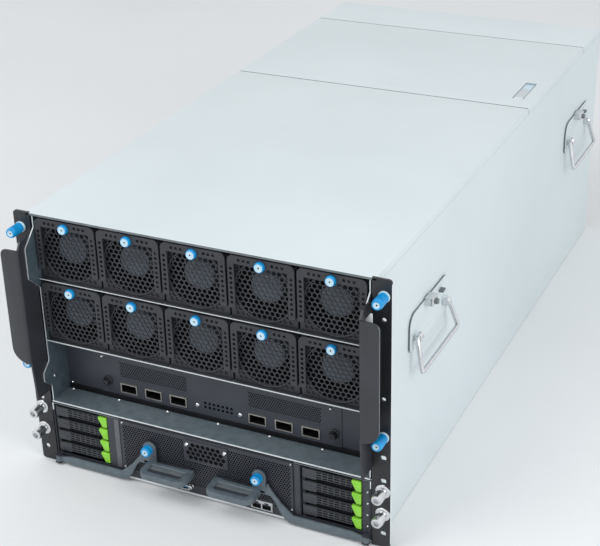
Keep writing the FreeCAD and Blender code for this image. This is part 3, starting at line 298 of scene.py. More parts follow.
def where_facing(finish, axis, span, colour, other):
    """Second colour where the surface faces along an axis; span is where it starts and where it is full."""
    facing = add(finish, "MapRange", From_Min=span[0], From_Max=span[1], To_Min=0.0, To_Max=1.0)
    pick = add(finish, "Mix")
    pick.data_type = "RGBA"
    join(finish, axis, facing.inputs["Value"])
    join(finish, facing.outputs["Result"], pick.inputs[0])
    join(finish, colour, pick.inputs[6])
    join(finish, other, pick.inputs[7])
    return pick.outputs[2]


def zinc_sheet(name, dark, light, rough, sheared):
    """Blue-grey coated sheet with faint crystals; a sheared one has bare front edges, and painted light on its
    tops.
    """
    finish, shader = start_finish(name, rough)
    shader.inputs["Specular IOR Level"].default_value = 0.6
    where = add(finish, "TexCoord")
    cells = add(finish, "TexVoronoi", Scale=110.0)
    join(finish, where.outputs["Object"], cells.inputs["Vector"])
    pattern = cells.outputs["Distance"]
    colour = two_shades(finish, pattern, dark, light, (0.1, 0.8))
    uneven_gloss(finish, shader, pattern, rough - 0.06, rough + 0.06)
    if sheared:
        axes = add(finish, "SeparateXYZ")
        join(finish, where.outputs["Normal"], axes.inputs["Vector"])
        # The upward flats get a lighter ramp: painted light from above.
        flats = two_shades(finish, pattern, (92, 105, 112), (106, 119, 126), (0.1, 0.8))
        edges = two_shades(finish, pattern, (200, 205, 208), (212, 217, 220), (0.1, 0.8))
        colour = where_facing(finish, axes.outputs["Z"], (0.6, 0.9), colour, flats)
        colour = where_facing(finish, axes.outputs["Y"], (-0.30, -0.45), colour, edges)
    join(finish, colour, shader.inputs["Base Color"])
    return finish


# %% Metals in use
tray_zinc = zinc_sheet("tray_zinc", (64, 76, 84), (75, 88, 96), 0.34, sheared=True)
lever_zinc = zinc_sheet("lever_zinc", (82, 93, 101), (94, 105, 113), 0.42, sheared=False)
bright_steel = drawn_metal("bright_steel", (206, 208, 211), (220, 222, 224), 0.22, (900.0, 60.0, 900.0))
cage_nickel = drawn_metal("cage_nickel", (186, 183, 176), (206, 203, 196), 0.36, (60.0, 700.0, 700.0))
fin_alloy = drawn_metal("fin_alloy", (176, 180, 184), (200, 203, 206), 0.36, (900.0, 40.0, 200.0))
print("materials in all:", len(bpy.data.materials))

# %% [markdown]
# ## Floor
#
# The floor is one sheet far larger than the object. It only catches the soft shadow.

# %% Floor sheet
ground = bmesh.new()
bmesh.ops.create_grid(ground, x_segments=1, y_segments=1, size=9.0,
                      matrix=Matrix.Translation((0, 0, cad_low.z - 0.0006)))
floor_mesh = bpy.data.meshes.new("floor")
ground.to_mesh(floor_mesh)
ground.free()
floor_mesh.materials.append(floor_paper)
floor = bpy.data.objects.new("floor", floor_mesh)
scene.collection.objects.link(floor)
print("floor at", round(cad_low.z * 1000, 1), "mm")

# %% [markdown]
# ## Workshop tools
#
# The pieces are drawn in millimetres, in the CAD frame, and shrunk to metres once when they are finished.
# That keeps the numbers readable and leaves every object at the origin with its place in its mesh.
# The tools below are the few shapes that sheet-metal work needs: a slab, a rod, a turned part,
# a sheet with windows and a sheet of six-sided cells.

# %% Finished pieces
MM = 0.001
CREASE = math.radians(35)
FRONT = Matrix.Rotation(math.radians(90), 4, "X")


def node_box(node):
    """Lowest and highest corner of a CAD node in millimetres."""
    low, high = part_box(node)
    return low / MM, high / MM


def piece(name, bm, finishes, body, slot, *nodes):
    """Turns a bmesh in millimetres into an object that rides on a body and stands for CAD nodes."""
    bmesh.ops.scale(bm, vec=(MM, MM, MM), verts=bm.verts[:])
    mesh = bpy.data.meshes.new(name)
    bm.to_mesh(mesh)
    bm.free()
    mesh.shade_smooth()
    mesh.set_sharp_from_angle(angle=CREASE)
    for finish in finishes:
        mesh.materials.append(finish)
    made = bpy.data.objects.new(name, mesh)
    scene.collection.objects.link(made)
    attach(made, body)
    if nodes:
        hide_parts(*nodes)


# %% Copies, turns and paint
def moved(bm, offset):
    """Copy of a bmesh at another place."""
    copy = bm.copy()
    shift(copy, offset)
    return copy


def flipped(bm):
    """Copy of a bmesh mirrored to the other side of the server."""
    copy = bm.copy()
    bmesh.ops.scale(copy, vec=(-1, 1, 1), verts=copy.verts[:])
    bmesh.ops.reverse_faces(copy, faces=copy.faces[:])
    return copy


def both_sides(name, bm, finishes, body, slot, *nodes):
    """Piece for the right side and its mirror image for the left; {} in a name stands for the side."""
    for side, half in (("right", bm), ("left", flipped(bm))):
        piece(name.format(side), half, finishes, body.format(side), slot, *[node.format(side) for node in nodes])


def paint(bm, index, chosen=lambda face: True):
    """Gives the chosen faces another of the piece's finishes."""
    for face in bm.faces:
        if chosen(face):
            face.material_index = index


def rotate(bm, angle, axis, verts=None):
    """Turns some vertices, or the whole bmesh, about an axis through the origin."""
    bmesh.ops.rotate(bm, cent=(0, 0, 0), matrix=Matrix.Rotation(angle, 3, axis), verts=verts or bm.verts[:])


def shift(bm, offset, verts=None):
    """Moves some vertices, or the whole bmesh."""
    bmesh.ops.translate(bm, vec=offset, verts=bm.verts[:] if verts is None else verts)


# %% Rounded edges and corners
def inner_edges(verts):
    """Edges that run between the given vertices."""
    chosen = set(verts)
    return [edge for edge in {edge for vert in verts for edge in vert.link_edges}
            if all(vert in chosen for vert in edge.verts)]


def round_edges(bm, edges, radius, segments=2, affect="EDGES"):
    """Rounds the given edges, which keep the finish of the faces beside them."""
    bmesh.ops.bevel(bm, geom=edges, offset=radius, offset_type="OFFSET", segments=segments, profile=0.5,
                    affect=affect, material=-1, clamp_overlap=True)


def round_corners(bm, verts, radius, segments=4):
    """Rounds corners of a flat sheet."""
    round_edges(bm, verts, radius, segments, affect="VERTICES")


def soften(bm, radius, crisp=1.0):
    """Rounds every edge that bends by more than a crisp angle."""
    round_edges(bm, [line for line in bm.edges if line.calc_face_angle(0) > crisp], radius)


# %% Slabs and rods
def slab(bm, low, high, radius=0.0, segments=2, along=None, finish=0):
    """Block between two corners in one finish, its edges rounded, or only those along one axis."""
    low, high = Vector(low), Vector(high)
    made = bmesh.ops.create_cube(bm, size=1.0)["verts"]
    bmesh.ops.scale(bm, vec=high - low, verts=made)
    shift(bm, (low + high) / 2, made)
    for face in {face for vert in made for face in vert.link_faces}:
        face.material_index = finish
    if radius:
        edges = inner_edges(made)
        if along is not None:
            edges = [edge for edge in edges
                     if abs((edge.verts[0].co - edge.verts[1].co).normalized()[along]) > 0.9]
        round_edges(bm, edges, radius, segments)


def rod(bm, start, along, length, radius, tip=None, sides=20):
    """Round bar from a start point along a direction, tapered to a tip radius if one is given."""
    along = Vector(along)
    turn = Vector((0, 0, 1)).rotation_difference(along).to_matrix().to_4x4()
    middle = Matrix.Translation(Vector(start) + along * length / 2)
    bmesh.ops.create_cone(bm, cap_ends=True, segments=sides, radius1=radius,
                          radius2=radius if tip is None else tip, depth=length, matrix=middle @ turn)


# %% Turned parts
def turned(bm, profile, centre, sides=24, finish=0):
    """Spins pairs of radius and reach about an axis that points to the front; returns the new faces."""
    old = set(bm.verts)
    ring = [bm.verts.new((radius, -reach, 0)) for radius, reach in profile]
    lines = [bm.edges.new(pair) for pair in zip(ring, ring[1:])]
    bmesh.ops.spin(bm, geom=ring + lines, cent=(0, 0, 0), axis=(0, 1, 0), angle=2 * math.pi, steps=sides,
                   use_merge=True)
    bmesh.ops.remove_doubles(bm, verts=[vert for vert in bm.verts if vert not in old], dist=0.001)
    new = [vert for vert in bm.verts if vert not in old]
    faces = list({face for vert in new for face in vert.link_faces})
    for face in faces:
        face.material_index = finish
    bmesh.ops.recalc_face_normals(bm, faces=faces)
    shift(bm, centre, new)
    return faces


# %% Flat sheets and their folds
def flat_sheet(bm, middle, size, turn=FRONT, cells=(1, 1)):
    """Sheet of one or more cells about a middle point, stretched along x, y and z; returns its vertices."""
    made = bmesh.ops.create_grid(bm, x_segments=cells[0], y_segments=cells[1], size=0.5, matrix=turn)["verts"]
    bmesh.ops.scale(bm, vec=size, verts=made)
    shift(bm, middle, made)
    return made


def front_sheet(bm, low, high, y):
    """Sheet between two corners in width and height, facing the front."""
    return flat_sheet(bm, ((low[0] + high[0]) / 2, y, (low[1] + high[1]) / 2),
                      (high[0] - low[0], 1, high[1] - low[1]))


def fold_out(bm, edges, offset):
    """Pulls a lip out of a sheet's open edges."""
    grown = bmesh.ops.extrude_edge_only(bm, edges=edges)["geom"]
    shift(bm, offset, [item for item in grown if isinstance(item, bmesh.types.BMVert)])


def thicken(bm, thick):
    """Gives a sheet its thickness, against the way it faces."""
    bmesh.ops.solidify(bm, geom=bm.faces[:], thickness=thick)


def open_box(low, high, side, wall):
    """Box with thin walls that is open towards one side."""
    bm = bmesh.new()
    slab(bm, low, high)
    lid = [face for face in bm.faces if face.normal.dot(Vector(side)) > 0.9]
    bmesh.ops.delete(bm, geom=lid, context="FACES_ONLY")
    thicken(bm, wall)
    return bm


# %% Cuts along a plane
def on_axis(axis, value):
    """Vector that has a value on one axis only."""
    return Vector([value if place == axis else 0 for place in range(3)])


def cut(bm, spot, normal, away=False):
    """Cuts every face along a plane, can take away what lies beyond it, and returns the edges of the cut."""
    made = bmesh.ops.bisect_plane(bm, geom=bm.verts[:] + bm.edges[:] + bm.faces[:], dist=0.0001, plane_co=spot,
                                  plane_no=normal, clear_outer=away)["geom_cut"]
    return [item for item in made if isinstance(item, bmesh.types.BMEdge)]


def score(bm, axis, place):
    """Cuts every face across an axis without removing anything."""
    cut(bm, on_axis(axis, place), on_axis(axis, 1))


def slice_off(bm, spot, normal):
    """Cuts away what lies beyond a plane and closes the cut."""
    bmesh.ops.edgeloop_fill(bm, edges=cut(bm, spot, normal, away=True))


# %% Windows and small holes
def window(x, z, half_wide, half_tall):
    """Window about a middle point: x low, x high, z low, z high."""
    return (x - half_wide, x + half_wide, z - half_tall, z + half_tall)


def open_windows(bm, windows, up=2):
    """Opens rectangular windows in a front sheet, or in a level one where up is the y axis."""
    for x_low, x_high, up_low, up_high in windows:
        for axis, place in ((0, x_low), (0, x_high), (up, up_low), (up, up_high)):
            score(bm, axis, place)
    gone = []
    for face in bm.faces:
        middle = face.calc_center_median()
        if any(x_low < middle.x < x_high and up_low < middle[up] < up_high
               for x_low, x_high, up_low, up_high in windows):
            gone.append(face)
    bmesh.ops.delete(bm, geom=gone, context="FACES")


def pierced_sheet(low, high, y, windows, thick):
    """Front sheet with windows and a thickness."""
    bm = bmesh.new()
    front_sheet(bm, low, high, y)
    open_windows(bm, windows)
    thicken(bm, thick)
    return bm


def open_cells(bm, faces, margin):
    """Pierces each face and leaves a margin of it."""
    bmesh.ops.inset_individual(bm, faces=faces, thickness=margin, use_even_offset=True)
    bmesh.ops.delete(bm, geom=faces, context="FACES_ONLY")


def eight_sided_holes(bm, faces, margin, corner):
    """Pierces each face with a hole that has its corners cut off."""
    bmesh.ops.inset_individual(bm, faces=faces, thickness=margin, use_even_offset=True)
    middles = [face.calc_center_median() for face in faces]
    corners = [vert for face in faces for vert in face.verts]
    round_corners(bm, corners, corner, segments=1)
    holes = [face for face in bm.faces if len(face.verts) == 8
             and any((face.calc_center_median() - middle).length < 0.1 for middle in middles)]
    bmesh.ops.delete(bm, geom=holes, context="FACES_ONLY")


# %% [markdown]
# ### Sheets of six-sided cells
#
# Fan guards and vents are punched with hundreds of six-sided holes. A Boolean with hundreds of cutters is slow
# and leaves poor faces. It is easier the other way round: lay six-sided tiles, trim them to the sheet,
# inset the tiles that are to be holes and delete their middles. Each hole costs six faces.

# %% Honeycomb
def honeycomb(low, high, y, pitch, web, thick, pierced=lambda x, z: True):
    """Front sheet of six-sided cells; the cells that pierced picks are opened."""
    bm = bmesh.new()
    reach = pitch / math.sqrt(3)
    rows = int((high[1] - low[1]) / (1.5 * reach)) + 3
    columns = int((high[0] - low[0]) / pitch) + 3
    for row in range(rows):
        z = (low[1] + high[1]) / 2 + (row - (rows - 1) / 2) * 1.5 * reach
        for column in range(columns):
            x = (low[0] + high[0]) / 2 + (column - (columns - 1) / 2 + 0.5 * (row % 2)) * pitch
            bmesh.ops.create_circle(bm, cap_ends=True, segments=6, radius=reach,
                                    matrix=Matrix.Translation((x, y, z)) @ FRONT)
    bmesh.ops.remove_doubles(bm, verts=bm.verts[:], dist=pitch / 50)
    for axis, index in ((0, 0), (2, 1)):
        for limit, sign in ((low[index], -1), (high[index], 1)):
            cut(bm, on_axis(axis, limit), on_axis(axis, sign), away=True)
    cells = []
    for face in bm.faces:
        middle = face.calc_center_median()
        if face.calc_area() > 0.99 * 1.5 * math.sqrt(3) * reach ** 2 and pierced(middle.x, middle.z):
            cells.append(face)
    open_cells(bm, cells, web / 2)
    thicken(bm, thick)
    return bm


def pour(bm, other):
    """Adds a copy of another bmesh to this one, and frees the other."""
    keeper = bpy.data.meshes.new("keeper")
    other.to_mesh(keeper)
    other.free()
    bm.from_mesh(keeper)
    bpy.data.meshes.remove(keeper)


# %% [markdown]
# ## Shell, tray and sled
#
# The folded shell, the tray and the sled are plain sheet metal, and the CAD shapes are already right.
# Modelling them again would only repeat them, so they keep their meshes and get finishes.

# %% Finishes for the CAD nodes that stay
def dress(node, finish):
    """Gives a CAD node a finish in each of its material slots."""
    for holder in frame["nodes"][node].material_slots:
        holder.material = finish


dress("chassis_shell", shell_coat)
dress("gpu_tray", tray_zinc)
dress("node_tray", charcoal_coat)
for number in range(1, 9):
    dress(f"drive_carrier_{number}", black_coat)
face_y = node_box("rack_ears")[0].y
print("front plane at", round(face_y, 1), "mm")

# %% [markdown]
# ## Top covers
#
# Each cover is one sheet with its edges folded down. Extruding the sheet's own edges makes the lips,
# a bevel on the fold lines gives the bend its radius, and solidify gives the sheet its thickness.
# The bends and a dark strip under each joint, painted shade in the gap, draw the thin seams between the covers.

# %% Folded covers
COVER_SHEET, COVER_BEND, BACK_LIP, SEAM = 1.2, 1.5, 5.0, 0.6


def folded_cover(low, high, front_lip, windows):
    """Sheet with long lips at the sides and short ones at the ends."""
    bm = bmesh.new()
    flat_sheet(bm, ((low.x + high.x) / 2, (low.y + high.y) / 2, high.z),
               (high.x - low.x, high.y - low.y, 1), Matrix())
    open_windows(bm, windows, up=1)
    folds = []
    for axis, place, drop in ((0, low.x, high.z - low.z), (0, high.x, high.z - low.z),
                              (1, low.y, front_lip), (1, high.y, BACK_LIP)):
        rim = [edge for edge in bm.edges
               if all(abs(vert.co[axis] - place) < 0.01 and abs(vert.co.z - high.z) < 0.01 for vert in edge.verts)]
        fold_out(bm, rim, (0, 0, -drop))
        folds += rim
    bmesh.ops.recalc_face_normals(bm, faces=bm.faces[:])
    round_edges(bm, folds, COVER_BEND, segments=3)
    thicken(bm, COVER_SHEET)
    return bm


# %% Covers and seams
low, high = node_box("cover_latch")
latch_window = (low.x + 0.7, high.x - 0.7, low.y - 0.8, high.y + 0.8)
for name, front_lip, windows in (("front_top_cover", 3.4, []), ("middle_top_cover", 5.0, [latch_window]),
                                 ("rear_top_cover", 5.0, [])):
    low, high = node_box(name)
    low.y += 0.0 if name == "front_top_cover" else SEAM
    high.y -= 0.0 if name == "rear_top_cover" else SEAM
    sheet = folded_cover(low, high, front_lip, windows)
    if name == "front_top_cover":
        # The front cover's front lip takes the mid grey: painted shade on that lip.
        paint(sheet, 1, lambda face: face.normal.y < -0.8 and face.calc_center_median().y < low.y + COVER_BEND)
    piece(name + "_sheet", sheet, [shell_coat, cut_edge], "chassis", "shell_paint", name)
    print(name, "is", round(high.y - low.y), "mm deep")
# A dark strip under each seam paints the shade in the gap between two covers.
seam_shade = bmesh.new()
for name in ("middle_top_cover", "rear_top_cover"):
    low, high = node_box(name)
    slab(seam_shade, (low.x + 1.4, low.y - 2.2, high.z - 4.4), (high.x - 1.4, low.y + 1.8, high.z - 0.6), 0.2)
piece("seam_shade_strips", seam_shade, [dark_cavity], "chassis", "shell_paint")

# %% [markdown]
# ## Cover latch
#
# The latch is a flap in a cup. The cup is a box without its lid. The flap has a pale blue pad with ribs where the
# finger goes and a darker bar at its far end: service points are marked in colour. Along the rest a flat grey
# slab paints the shade of a shallow finger hollow.

# %% Latch cup, flap and pad
low, high = node_box("cover_latch")
cup = open_box((low.x, low.y - 1.8, low.z - 3.6), (high.x, high.y + 1.8, high.z - 0.9), (0, 0, 1), 1.0)
piece("latch_cup", cup, [shell_coat], "chassis", "shell_paint")

flap = bmesh.new()
slab(flap, (low.x + 1.9, low.y + 2.0, high.z - 3.0), (high.x - 1.9, high.y, high.z), 0.7)
rod(flap, (low.x + 0.2, low.y + 2.5, high.z - 2.5), (1, 0, 0), high.x - low.x - 0.4, 1.2, sides=12)
rod(flap, (low.x + 1.9, low.y + 2.5, high.z - 2.5), (1, 0, 0), high.x - low.x - 3.8, 2.4, sides=16)
# The flap's sides take the mid grey: painted shade in the narrow gaps beside it.
paint(flap, 1, lambda face: abs(face.normal.x) > 0.6)
piece("latch_flap", flap, [shell_coat, cut_edge], "cover_latch", "blue_plastic", "cover_latch")

pad = bmesh.new()
slab(pad, (low.x + 2.4, high.y - 5.0, high.z - 0.6), (high.x - 2.4, high.y - 0.6, high.z + 0.3), 0.25, finish=1)
slab(pad, (low.x + 2.9, high.y - 26.0, high.z - 0.6), (high.x - 2.9, high.y - 5.2, high.z + 0.15), 0.1)
for rib in range(4):
    place = high.y - 23.0 + 4.4 * rib
    slab(pad, (low.x + 4.0, place, high.z - 0.2), (high.x - 4.0, place + 1.6, high.z + 0.4), 0.15, segments=1)
# Painted shade of a finger hollow: a flat grey slab over the near part of the flap.
slab(pad, (low.x + 2.9, low.y + 7.0, high.z - 0.6), (high.x - 2.9, high.y - 26.4, high.z + 0.1), 0.05, segments=1,
     finish=2)
piece("latch_pad", pad, [pale_blue, bar_blue, painted_hollow_shade], "cover_latch", "blue_plastic")
print("latch flap:", round(high.x - low.x), "by", round(high.y - low.y), "mm")

# %% [markdown]
# ## Rack ears
#
# An ear is a thick black plate with square holes for its screws and small round holes, which show the light behind.
# The plate is scored into cells, and the cells that are to be holes are inset and deleted.

# %% Ears
low, high = node_box("rack_ears")
ear = bmesh.new()
corners = front_sheet(ear, (high.x - 22.8, low.z), (high.x, high.z), low.y)
round_corners(ear, [vert for vert in corners if vert.co.x > high.x - 1], 4.0)
hole_x, hole_half = high.x - 8.75, 4.4
screw_heights = (47.8, 79.55, 152.6, 330.4)
open_windows(ear, [window(hole_x, z, hole_half, hole_half) for z in screw_heights])
for z, margin in ((19.0, 0.9), (92.5, 0.9), (124.0, 0.9), (202.0, 1.8), (302.0, 1.8)):
    for place in (z - hole_half, z + hole_half):
        score(ear, 2, place)
    cell = [face for face in ear.faces
            if abs(face.calc_center_median().z - z) < 1 and abs(face.calc_center_median().x - hole_x) < 1]
    eight_sided_holes(ear, cell, margin, 0.6 * (hole_half - margin))
thicken(ear, 3.0)
slab(ear, (high.x - 22.3, low.y + 3.0, 100.0), (high.x - 19.3, low.y + 30.0, 325.0), 0.8, along=0)
edge = bmesh.new()
slab(edge, (high.x - 0.25, low.y + 0.3, 5.0), (high.x + 0.12, low.y + 2.7, high.z - 5.0))
both_sides("ear_{}", ear, [black_coat], "chassis", "dark_paint", "rack_ears")
both_sides("ear_{}_edge", edge, [bare_edge], "chassis", "bright_steel")
print("ear holes at", screw_heights)

# %% [markdown]
# ## Screws
#
# Every captive screw is a turned part, so a half outline is drawn once and spun round its axis.
# The grip gets grooves by insetting its side faces and pushing them in. On the ears it stands on a pale flange.

# %% Thumb screw
def thumb_screw(bm, centre, radius, length, root, cap=0.6, waist=1.0):
    """Coloured grip with a pale end and a dark socket, narrower at its foot where waist is under 1."""
    faces = turned(bm, [(0.0, -root), (0.68 * radius, -root), (0.68 * radius, 0.08 * length),
                        (waist * radius, 0.12 * length), (radius, 0.78 * length), (0.95 * radius, 0.93 * length),
                        (0.84 * radius, length), (cap * radius, length), (0.96 * cap * radius, 0.97 * length),
                        (0.16 * radius, 0.97 * length), (0.13 * radius, 0.86 * length), (0.0, 0.86 * length)],
                   centre, sides=20)
    grip = []
    for face in faces:
        middle = face.calc_center_median() - Vector(centre)
        across = math.hypot(middle.x, middle.z)
        if across < 0.15 * radius and middle.y < -0.5 * length:
            face.material_index = 2
        elif across < 0.99 * cap * radius and middle.y < -0.8 * length:
            face.material_index = 1
        elif across > 0.7 * radius and 0.3 * length < -middle.y < 0.6 * length:
            grip.append(face)
    bmesh.ops.inset_individual(bm, faces=grip, thickness=0.08 * radius, depth=-0.05 * radius, use_even_offset=True)


# %% Screws on the ears
screw_finishes = [blue_grip, pale_cap, dark_cavity]
thumbs = bmesh.new()
rack = bmesh.new()
for side in (-1, 1):
    for z in screw_heights[2:]:
        spot = (side * hole_x, face_y, z)
        thumb_screw(thumbs, spot, 6.5, 22.0, 0.0, waist=0.93)
        turned(thumbs, [(0, 0), (6.9, 0), (6.9, 1.6), (6.5, 2.2), (0, 2.2)], spot, finish=1)
    for z in screw_heights:
        rod(rack, (side * hole_x, face_y - 1.0, z), (0, 1, 0), 18.0, 3.0, tip=2.4)
    for z in screw_heights[:2]:
        spot = (side * hole_x, face_y, z)
        turned(rack, [(0, 0), (9.0, 0), (9.0, 2.0), (7.8, 3.0), (5.4, 3.4), (5.4, 8.4), (6.9, 9.4), (6.9, 19.0),
                      (6.2, 21.2), (5.0, 22.0), (3.4, 22.0), (3.1, 17.0), (0, 17.0)], spot)
piece("ear_thumb_screws", thumbs, screw_finishes, "chassis", "blue_plastic", "ear_thumbscrews")
piece("rack_screw_set", rack, [bright_steel], "chassis", "bright_steel", "rack_screws")
print("screws on each ear:", len(screw_heights))

# %% [markdown]
# ## Tray handles
#
# The tray is pulled by two angled plates. Each has a broad flange towards the front and a web along the tray.
# Flange and web are one sheet: the flange's inner edge is extruded to the back and the fold is bevelled.
# A small spring catch stands behind the flange: a slab with one corner cut off.

# %% Handles
low, high = node_box("tray_handles")
fold_x, flange_low, flange_high = high.x - 24.5, 162.0, 315.0
handle = bmesh.new()
front_sheet(handle, (fold_x, flange_low), (high.x, flange_high), low.y)
for z, radius, segments in ((flange_high, 8.0, 5), (flange_low, 20.0, 7)):
    outer = [vert for vert in handle.verts if vert.co.x > high.x - 1 and abs(vert.co.z - z) < 1]
    round_corners(handle, outer, radius, segments)
fold = [line for line in handle.edges if all(vert.co.x < fold_x + 1 for vert in line.verts)]
fold_out(handle, fold, (0, high.y - low.y, 0))
bmesh.ops.recalc_face_normals(handle, faces=handle.faces[:])
if any(face.normal.y > 0.9 for face in handle.faces):
    bmesh.ops.reverse_faces(handle, faces=handle.faces[:])
round_edges(handle, fold, 4.0, segments=5)
for z_low, z_high, slope_low, slope_high in ((low.z, flange_low, 7.0, 3.0), (flange_high, high.z, 3.0, 9.0)):
    corners = flat_sheet(handle, (fold_x, (low.y + high.y) / 2, (z_low + z_high) / 2),
                         (1, high.y - low.y, z_high - z_low), Matrix.Rotation(math.radians(-90), 4, "Y"))
    for vert in corners:
        if vert.co.y < low.y + 1:
            slope = slope_low if vert.co.z < (z_low + z_high) / 2 else slope_high
            shift(handle, (0, slope, 0), [vert])
thicken(handle, 2.5)
round_edges(handle, [line for line in handle.edges if line.calc_face_angle(0) > 1.0
                     and all(vert.co.x > fold_x + 5 for vert in line.verts)], 0.7)
# The flange's outer edge takes the mid grey: a painted highlight along it.
paint(handle, 1, lambda face: face.normal.x > 0.6 and face.calc_center_median().x > high.x - 1.2)
both_sides("handle_{}", handle, [handle_coat, cut_edge], "gpu_tray", "tray_steel", "tray_handles")
print("handle flange:", round(high.x - fold_x, 1), "by", flange_high - flange_low, "mm")

# %% Spring catch behind each handle
catch = bmesh.new()
slab(catch, (fold_x - 0.2, low.y + 15.0, 300.0), (fold_x + 10.0, low.y + 17.0, 317.5))
slice_off(catch, (fold_x + 1.5, 0, 309.0), (-8.5, 0, 6.0))
soften(catch, 0.5, crisp=0.6)
print("catch faces:", len(catch.faces))
both_sides("handle_catch_{}", catch, [bare_edge], "gpu_tray", "bright_steel")

# %% [markdown]
# ## Fan modules
#
# Ten modules are alike, so one is drawn about its own axis and copied.
# Its pull frame starts as a sheet with a large window that is open at the bottom, which leaves two legs and a bar.
# The outer corners are rounded first. Then the sheet is scored into small squares, and each square becomes a hole.

# %% Pull frame
low, high = node_box("fan_module_01")
wide, tall = high.x - low.x, high.z - low.z
leg, bar, hole_step = 8.6, 12.0, 6.1
leg_x, bar_z = wide / 2 - leg / 2 - 0.2, tall / 2 - bar / 2 - 0.9
pull_frame = bmesh.new()
front_sheet(pull_frame, (-wide / 2 + 0.4, -tall / 2 + 14.6), (wide / 2 - 0.4, tall / 2 - 1.8), -4.0)
open_windows(pull_frame, [(-wide / 2 + leg, wide / 2 - leg, -tall / 2, tall / 2 - bar)])
bmesh.ops.dissolve_limit(pull_frame, angle_limit=0.01, verts=pull_frame.verts[:], edges=pull_frame.edges[:])
round_corners(pull_frame, [vert for vert in pull_frame.verts
                           if abs(vert.co.x) > wide / 2 - 1 and vert.co.z > tall / 2 - 2], 7.0, segments=5)
hole_spots = [(side * leg_x, 23.0 - hole_step * place) for side in (-1, 1) for place in range(8)]
hole_spots += [(side * (14.6 + hole_step * place), bar_z) for side in (-1, 1) for place in range(3)]
for axis, index in ((0, 0), (2, 1)):
    for place in sorted({round(spot[index] + sign * hole_step / 2, 3) for spot in hole_spots for sign in (-1, 1)}):
        score(pull_frame, axis, place)
cells = [face for face in pull_frame.faces
         if any(abs(face.calc_center_median().x - x) < 0.5 and abs(face.calc_center_median().z - z) < 0.5
                for x, z in hole_spots)]
eight_sided_holes(pull_frame, cells, 1.2, 1.1)
thicken(pull_frame, 2.0)
slab(pull_frame, (-wide / 2 + 0.6, -3.0, -tall / 2 + 0.3), (wide / 2 - 0.6, 3.0, -tall / 2 + 1.2), 0.3)
for x in (-wide / 2 + 0.6, wide / 2 - 1.8):
    slab(pull_frame, (x, -2.6, -tall / 2 + 14.8), (x + 1.2, 3.0, tall / 2 - 9.0))
print("frame holes:", len(cells))

# %% [markdown]
# The guard behind the frame is a honeycomb. The tunnel is a square with a round bore: a square loop and a circle
# with the same number of points are bridged into a ring, and the ring gets the depth of the fan.
# A thin bead is turned onto the guard, round the blades.

# %% Guard, tunnel and module screw
bore, fan_front, fan_back = 38.5, 3.7, 64.0
screw_z, screw_long = 32.0, 9.0
guard = honeycomb((-wide / 2 + 0.3, -tall / 2 + 0.3), (wide / 2 - 0.3, tall / 2 - 6.0), 2.5, 6.6, 1.5, 1.2,
                  lambda x, z: abs(x) < 39.0 and z > -39.0 and math.hypot(x, z - screw_z) > 8.0)
tunnel = bmesh.new()
flat_sheet(tunnel, (0, 0, 0), (wide, 1, tall))
bmesh.ops.delete(tunnel, geom=tunnel.faces[:], context="FACES_ONLY")
bmesh.ops.subdivide_edges(tunnel, edges=tunnel.edges[:], cuts=9)
bmesh.ops.create_circle(tunnel, cap_ends=False, segments=40, radius=bore, matrix=FRONT)
bmesh.ops.bridge_loops(tunnel, edges=tunnel.edges[:])
shift(tunnel, (0, fan_front, 0))
bmesh.ops.reverse_faces(tunnel, faces=[face for face in tunnel.faces if face.normal.y > 0])
thicken(tunnel, fan_back - fan_front)
slab(tunnel, (-bore - 1.0, 58.0, -4.0), (bore + 1.0, fan_back, 4.0), 1.0)
slab(tunnel, (-4.0, 58.0, -bore - 1.0), (4.0, fan_back, bore + 1.0), 1.0)
rod(tunnel, (0, 57.8, 0), (0, 1, 0), 6.2, 17.0, sides=32)
paint(tunnel, 1)
bead = bmesh.new()
turned(bead, [(35.6, -2.7), (35.6, -2.0), (36.2, -1.6), (36.9, -1.6), (37.5, -2.0), (37.5, -2.7), (35.6, -2.7)],
       (0, 0, -3.5), sides=56)
for part in (guard, tunnel, bead):
    pour(pull_frame, part)
screw = bmesh.new()
thumb_screw(screw, (0, 0, screw_z), 6.2, screw_long, 2.4, cap=0.8)
print("faces of one fan body:", len(pull_frame.faces))

# %% [markdown]
# ## Fan rotors
#
# The hub is turned and has a shallow ring on its face. A blade is a small grid: each row of points is turned a
# little less than the one before it, which twists the blade as a real one is twisted, and it is then thickened
# and repeated round the hub.

# %% Hub and blades
hub = bmesh.new()
turned(hub, [(0, -9.4), (9.0, -9.4), (9.6, -9.0), (17.0, -9.0), (19.2, -9.9), (20.6, -12.5), (20.6, -57.4),
             (0, -57.4)], (0, 0, 0), sides=40)
blade = bmesh.new()
bmesh.ops.create_grid(blade, x_segments=8, y_segments=5, size=0.5)
stations = sorted({round(vert.co.y, 4) for vert in blade.verts})
for station in stations:
    row = [vert for vert in blade.verts if abs(vert.co.y - station) < 0.001]
    share = station + 0.5
    bmesh.ops.scale(blade, vec=(27.0 - 2.0 * share, 0, 0), verts=row)
    for vert in row:
        shift(blade, (0, 2.6 - 0.014 * vert.co.x ** 2, 17.0 + 19.0 * share), [vert])
    rotate(blade, math.radians(54 - 18 * share), "Z", row)
bmesh.ops.recalc_face_normals(blade, faces=blade.faces[:])
thicken(blade, 1.4)
shift(blade, (0, 28.0, 0))
blades = bmesh.new()
blade_count = 7
for turn in range(blade_count):
    copy = blade.copy()
    rotate(copy, 2 * math.pi * turn / blade_count, "Y")
    pour(blades, copy)
blade.free()
paint(blades, 1)
pour(hub, blades)
print("faces of one rotor:", len(hub.faces))

